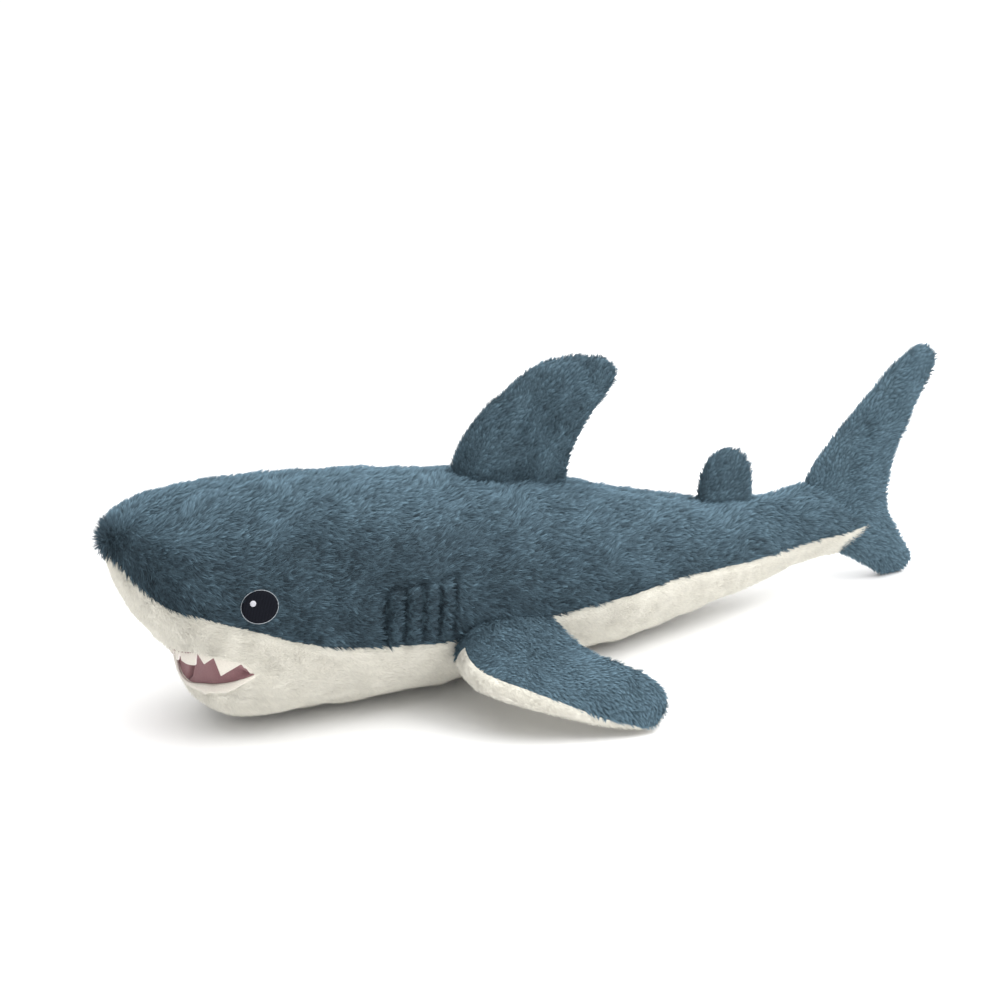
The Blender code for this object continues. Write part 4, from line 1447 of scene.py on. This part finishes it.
BODY_CLOTH, FIN_CLOTH = (1.2, 0.8), (0.9, 0.6)
BODY_PANELS = {
    "blue": (
        ("back_left", 0, "rear", ("back_panel_left", "rear_back_panel_left")),
        ("back_right", 1, "rear", ("back_panel_right", "rear_back_panel_right")),
        ("tail_root_left", 5, "tail", ()),
        ("tail_root_right", 6, "tail", ()),
    ),
    "white": (
        ("snout", 2, "trunk", ("snout_panel",)),
        ("belly", 3, "rear", ("belly_panel", "rear_belly_panel", "body_stuffing", "rear_stuffing")),
        ("chin", 4, "chin", ("chin_panel", "jaw_stuffing")),
        ("tail_root_belly", 7, "tail", ()),
    ),
}
BODY_DENSITY = {"blue": 1.6, "white": 1.9}


def body(materials):
    form = body_skin()
    tree = BVHTree.FromObject(form, bpy.context.evaluated_depsgraph_get())
    for seed, (kind, panels) in enumerate(BODY_PANELS.items(), start=21):
        names = {owner: name for name, owner, _, _ in panels}
        keep = clear_of_eyes if kind == "blue" else None
        # painted light and shade on the blue body's pile, none on the white
        painted_light = body_painted_light if kind == "blue" else even_painted_light(0)
        fur = materials[kind + "_pile"]
        grown = pile(form, names, kind, BODY_DENSITY[kind], backwards, fur, seed, painted_light, keep)
        for name, owner, how, nodes in panels:
            slot = kind + "_plush"
            sewn(form, owner, name, kind, grown[name], how, BODY_CLOTH, slot, nodes, materials)
    bpy.data.objects.remove(form, do_unlink=True)
    return tree


FIN_DENSITY = 1.5
FIN_REARWARD = 0.35            # how far a fin's nap turns to the rear
FIN_PILE = {"blue": 3.4, "white": 2.2}
FIN_SLOT = {"blue": "fin_plush", "white": "white_plush"}


def fins(materials):
    up = (0, 0, 1)
    right_pectoral = [(*row[:4], -row[4]) for row in PECTORAL]
    both_blue = (("right", "blue"), ("left", "blue"))
    plans = (
        ("dorsal_fin", DORSAL, "dorsal_fin_flop", up, 1, "trunk", both_blue),
        ("second_dorsal_fin", SECOND_DORSAL, "second_dorsal_fin_flop", up, 1, "rear_body", both_blue),
        ("pectoral_fin_left", PECTORAL, "pectoral_fin_left_lift", (0, -1, -0.52), -1, "trunk",
         (("top", "blue"), ("underside", "white"))),
        ("pectoral_fin_right", right_pectoral, "pectoral_fin_right_lift", (0, 1, -0.52), 1, "trunk",
         (("underside", "white"), ("top", "blue"))),
    )
    for seed, (name, sections, joint, span, forwards, parent, faces) in enumerate(plans, start=41):
        place, axes = fin_axes(joint, span, forwards)
        pale_side = {"underside": 1, "top": -1}.get(faces[0][0], 0)
        form = fin_skin(name, sections, place, axes, pale_side=pale_side)
        start, end = place - axes[2] * 8, place + axes[2] * 8
        # painted light on the blue pile: paler towards the pectoral fins' tips, a trace lighter on the dorsal
        # fins
        painted_light = tip_painted_light(place, axes, 0.85) if pale_side else even_painted_light(0.03)
        for owner, (word, kind) in enumerate(faces):
            piece = f"{name}_{word}"
            grown = pile(
                form, {owner: piece}, kind, FIN_DENSITY, outwards(axes, FIN_REARWARD),
                materials[kind + "_pile"], seed * 10 + owner, painted_light if kind == "blue" else even_painted_light(0),
                length=FIN_PILE[kind],
            )
            nodes = [f"{name}_panel_{word}"] + ([f"{name}_stuffing"] if owner == 0 else [])
            how, slot = (parent, name, start, end), FIN_SLOT[kind]
            sewn(form, owner, piece, kind, grown[piece], how, FIN_CLOTH, slot, nodes, materials)
        bpy.data.objects.remove(form, do_unlink=True)


def tail(materials):
    place, axis = hinge("tail_fin_sway")
    sections = [(z - place[2], front - place[0], rear - place[0], half, 0) for z, front, rear, half in CAUDAL]
    form = fin_skin("tail_fin", sections, place, np.identity(3), True)
    across = np.cross((0, 1.0, 0), axis)

    def flow(spots, normals):
        upwards = np.clip((spots[:, 2] - 40) / 30, -1, 1)[:, None]
        return np.array((1.0, 0, 0)) * (1.2 - np.abs(upwards) * 0.6) + np.array((0.25, 0, 0.9)) * upwards

    names = {0: "tail_fin_right", 1: "tail_fin_left"}
    # painted light: the tail fin's pile is lighter all over
    grown = pile(
        form, names, "blue", FIN_DENSITY, flow, materials["blue_pile"], 91, even_painted_light(0.42),
        length=FIN_PILE["blue"],
    )
    how = ("rear_body", "tail_fin", place - across * 28, place + across * 28)
    for owner, name in names.items():
        nodes = ["tail_fin_panel_" + name.split("_")[-1]] + (["tail_fin_stuffing"] if owner == 0 else [])
        sewn(form, owner, name, "blue", grown[name], how, FIN_CLOTH, FIN_SLOT["blue"], nodes, materials)
    bpy.data.objects.remove(form, do_unlink=True)


def mouth(materials):
    lining_bends = ("trunk", "jaw", (-214, 0, 57), (-214, 0, 35))
    nodes = ("mouth_lining_upper", "mouth_lining_lower")
    fit(mouth_lining(materials["lining"]), lining_bends, "mouth_cloth", *nodes)
    felt = materials["felt"], materials["felt_edge"]
    fit(upper_teeth(*felt), "trunk", "white_felt", "upper_teeth")
    fit(lower_lip(*felt), "jaw", "white_felt", "lower_lip")


def all_materials():
    return {
        "blue_pile": pile_material("blue_pile", BLUE, 0.13, 2.6, 0.3, 0.35),
        "white_pile": pile_material("white_pile", WHITE, 0.88, 1.12, 0.1, 0.12),
        "blue_backing": backing_material("blue_backing", BLUE, 0.35),
        "white_backing": backing_material("white_backing", WHITE, 0.92),
        "felt": felt_material(),
        "felt_edge": felt_edge_material(),
        "lining": lining_material(),
        "eye": eye_material(),
        "rim": thread_material("eye_rim", (0.30, 0.33, 0.36)),
        "glint": thread_material("eye_glint", (0.48, 0.48, 0.52)),
        "gill": thread_material("gill_thread", (0.018, 0.03, 0.045)),
    }


def build():
    studio()
    materials = all_materials()
    tree = body(materials)
    fins(materials)
    tail(materials)
    mouth(materials)
    for side, word in ((-1, "left"), (1, "right")):
        eye_set(tree, side, word, materials["eye"], materials["rim"], materials["glint"])
        gill_threads(tree, side, word, materials["gill"])


build()
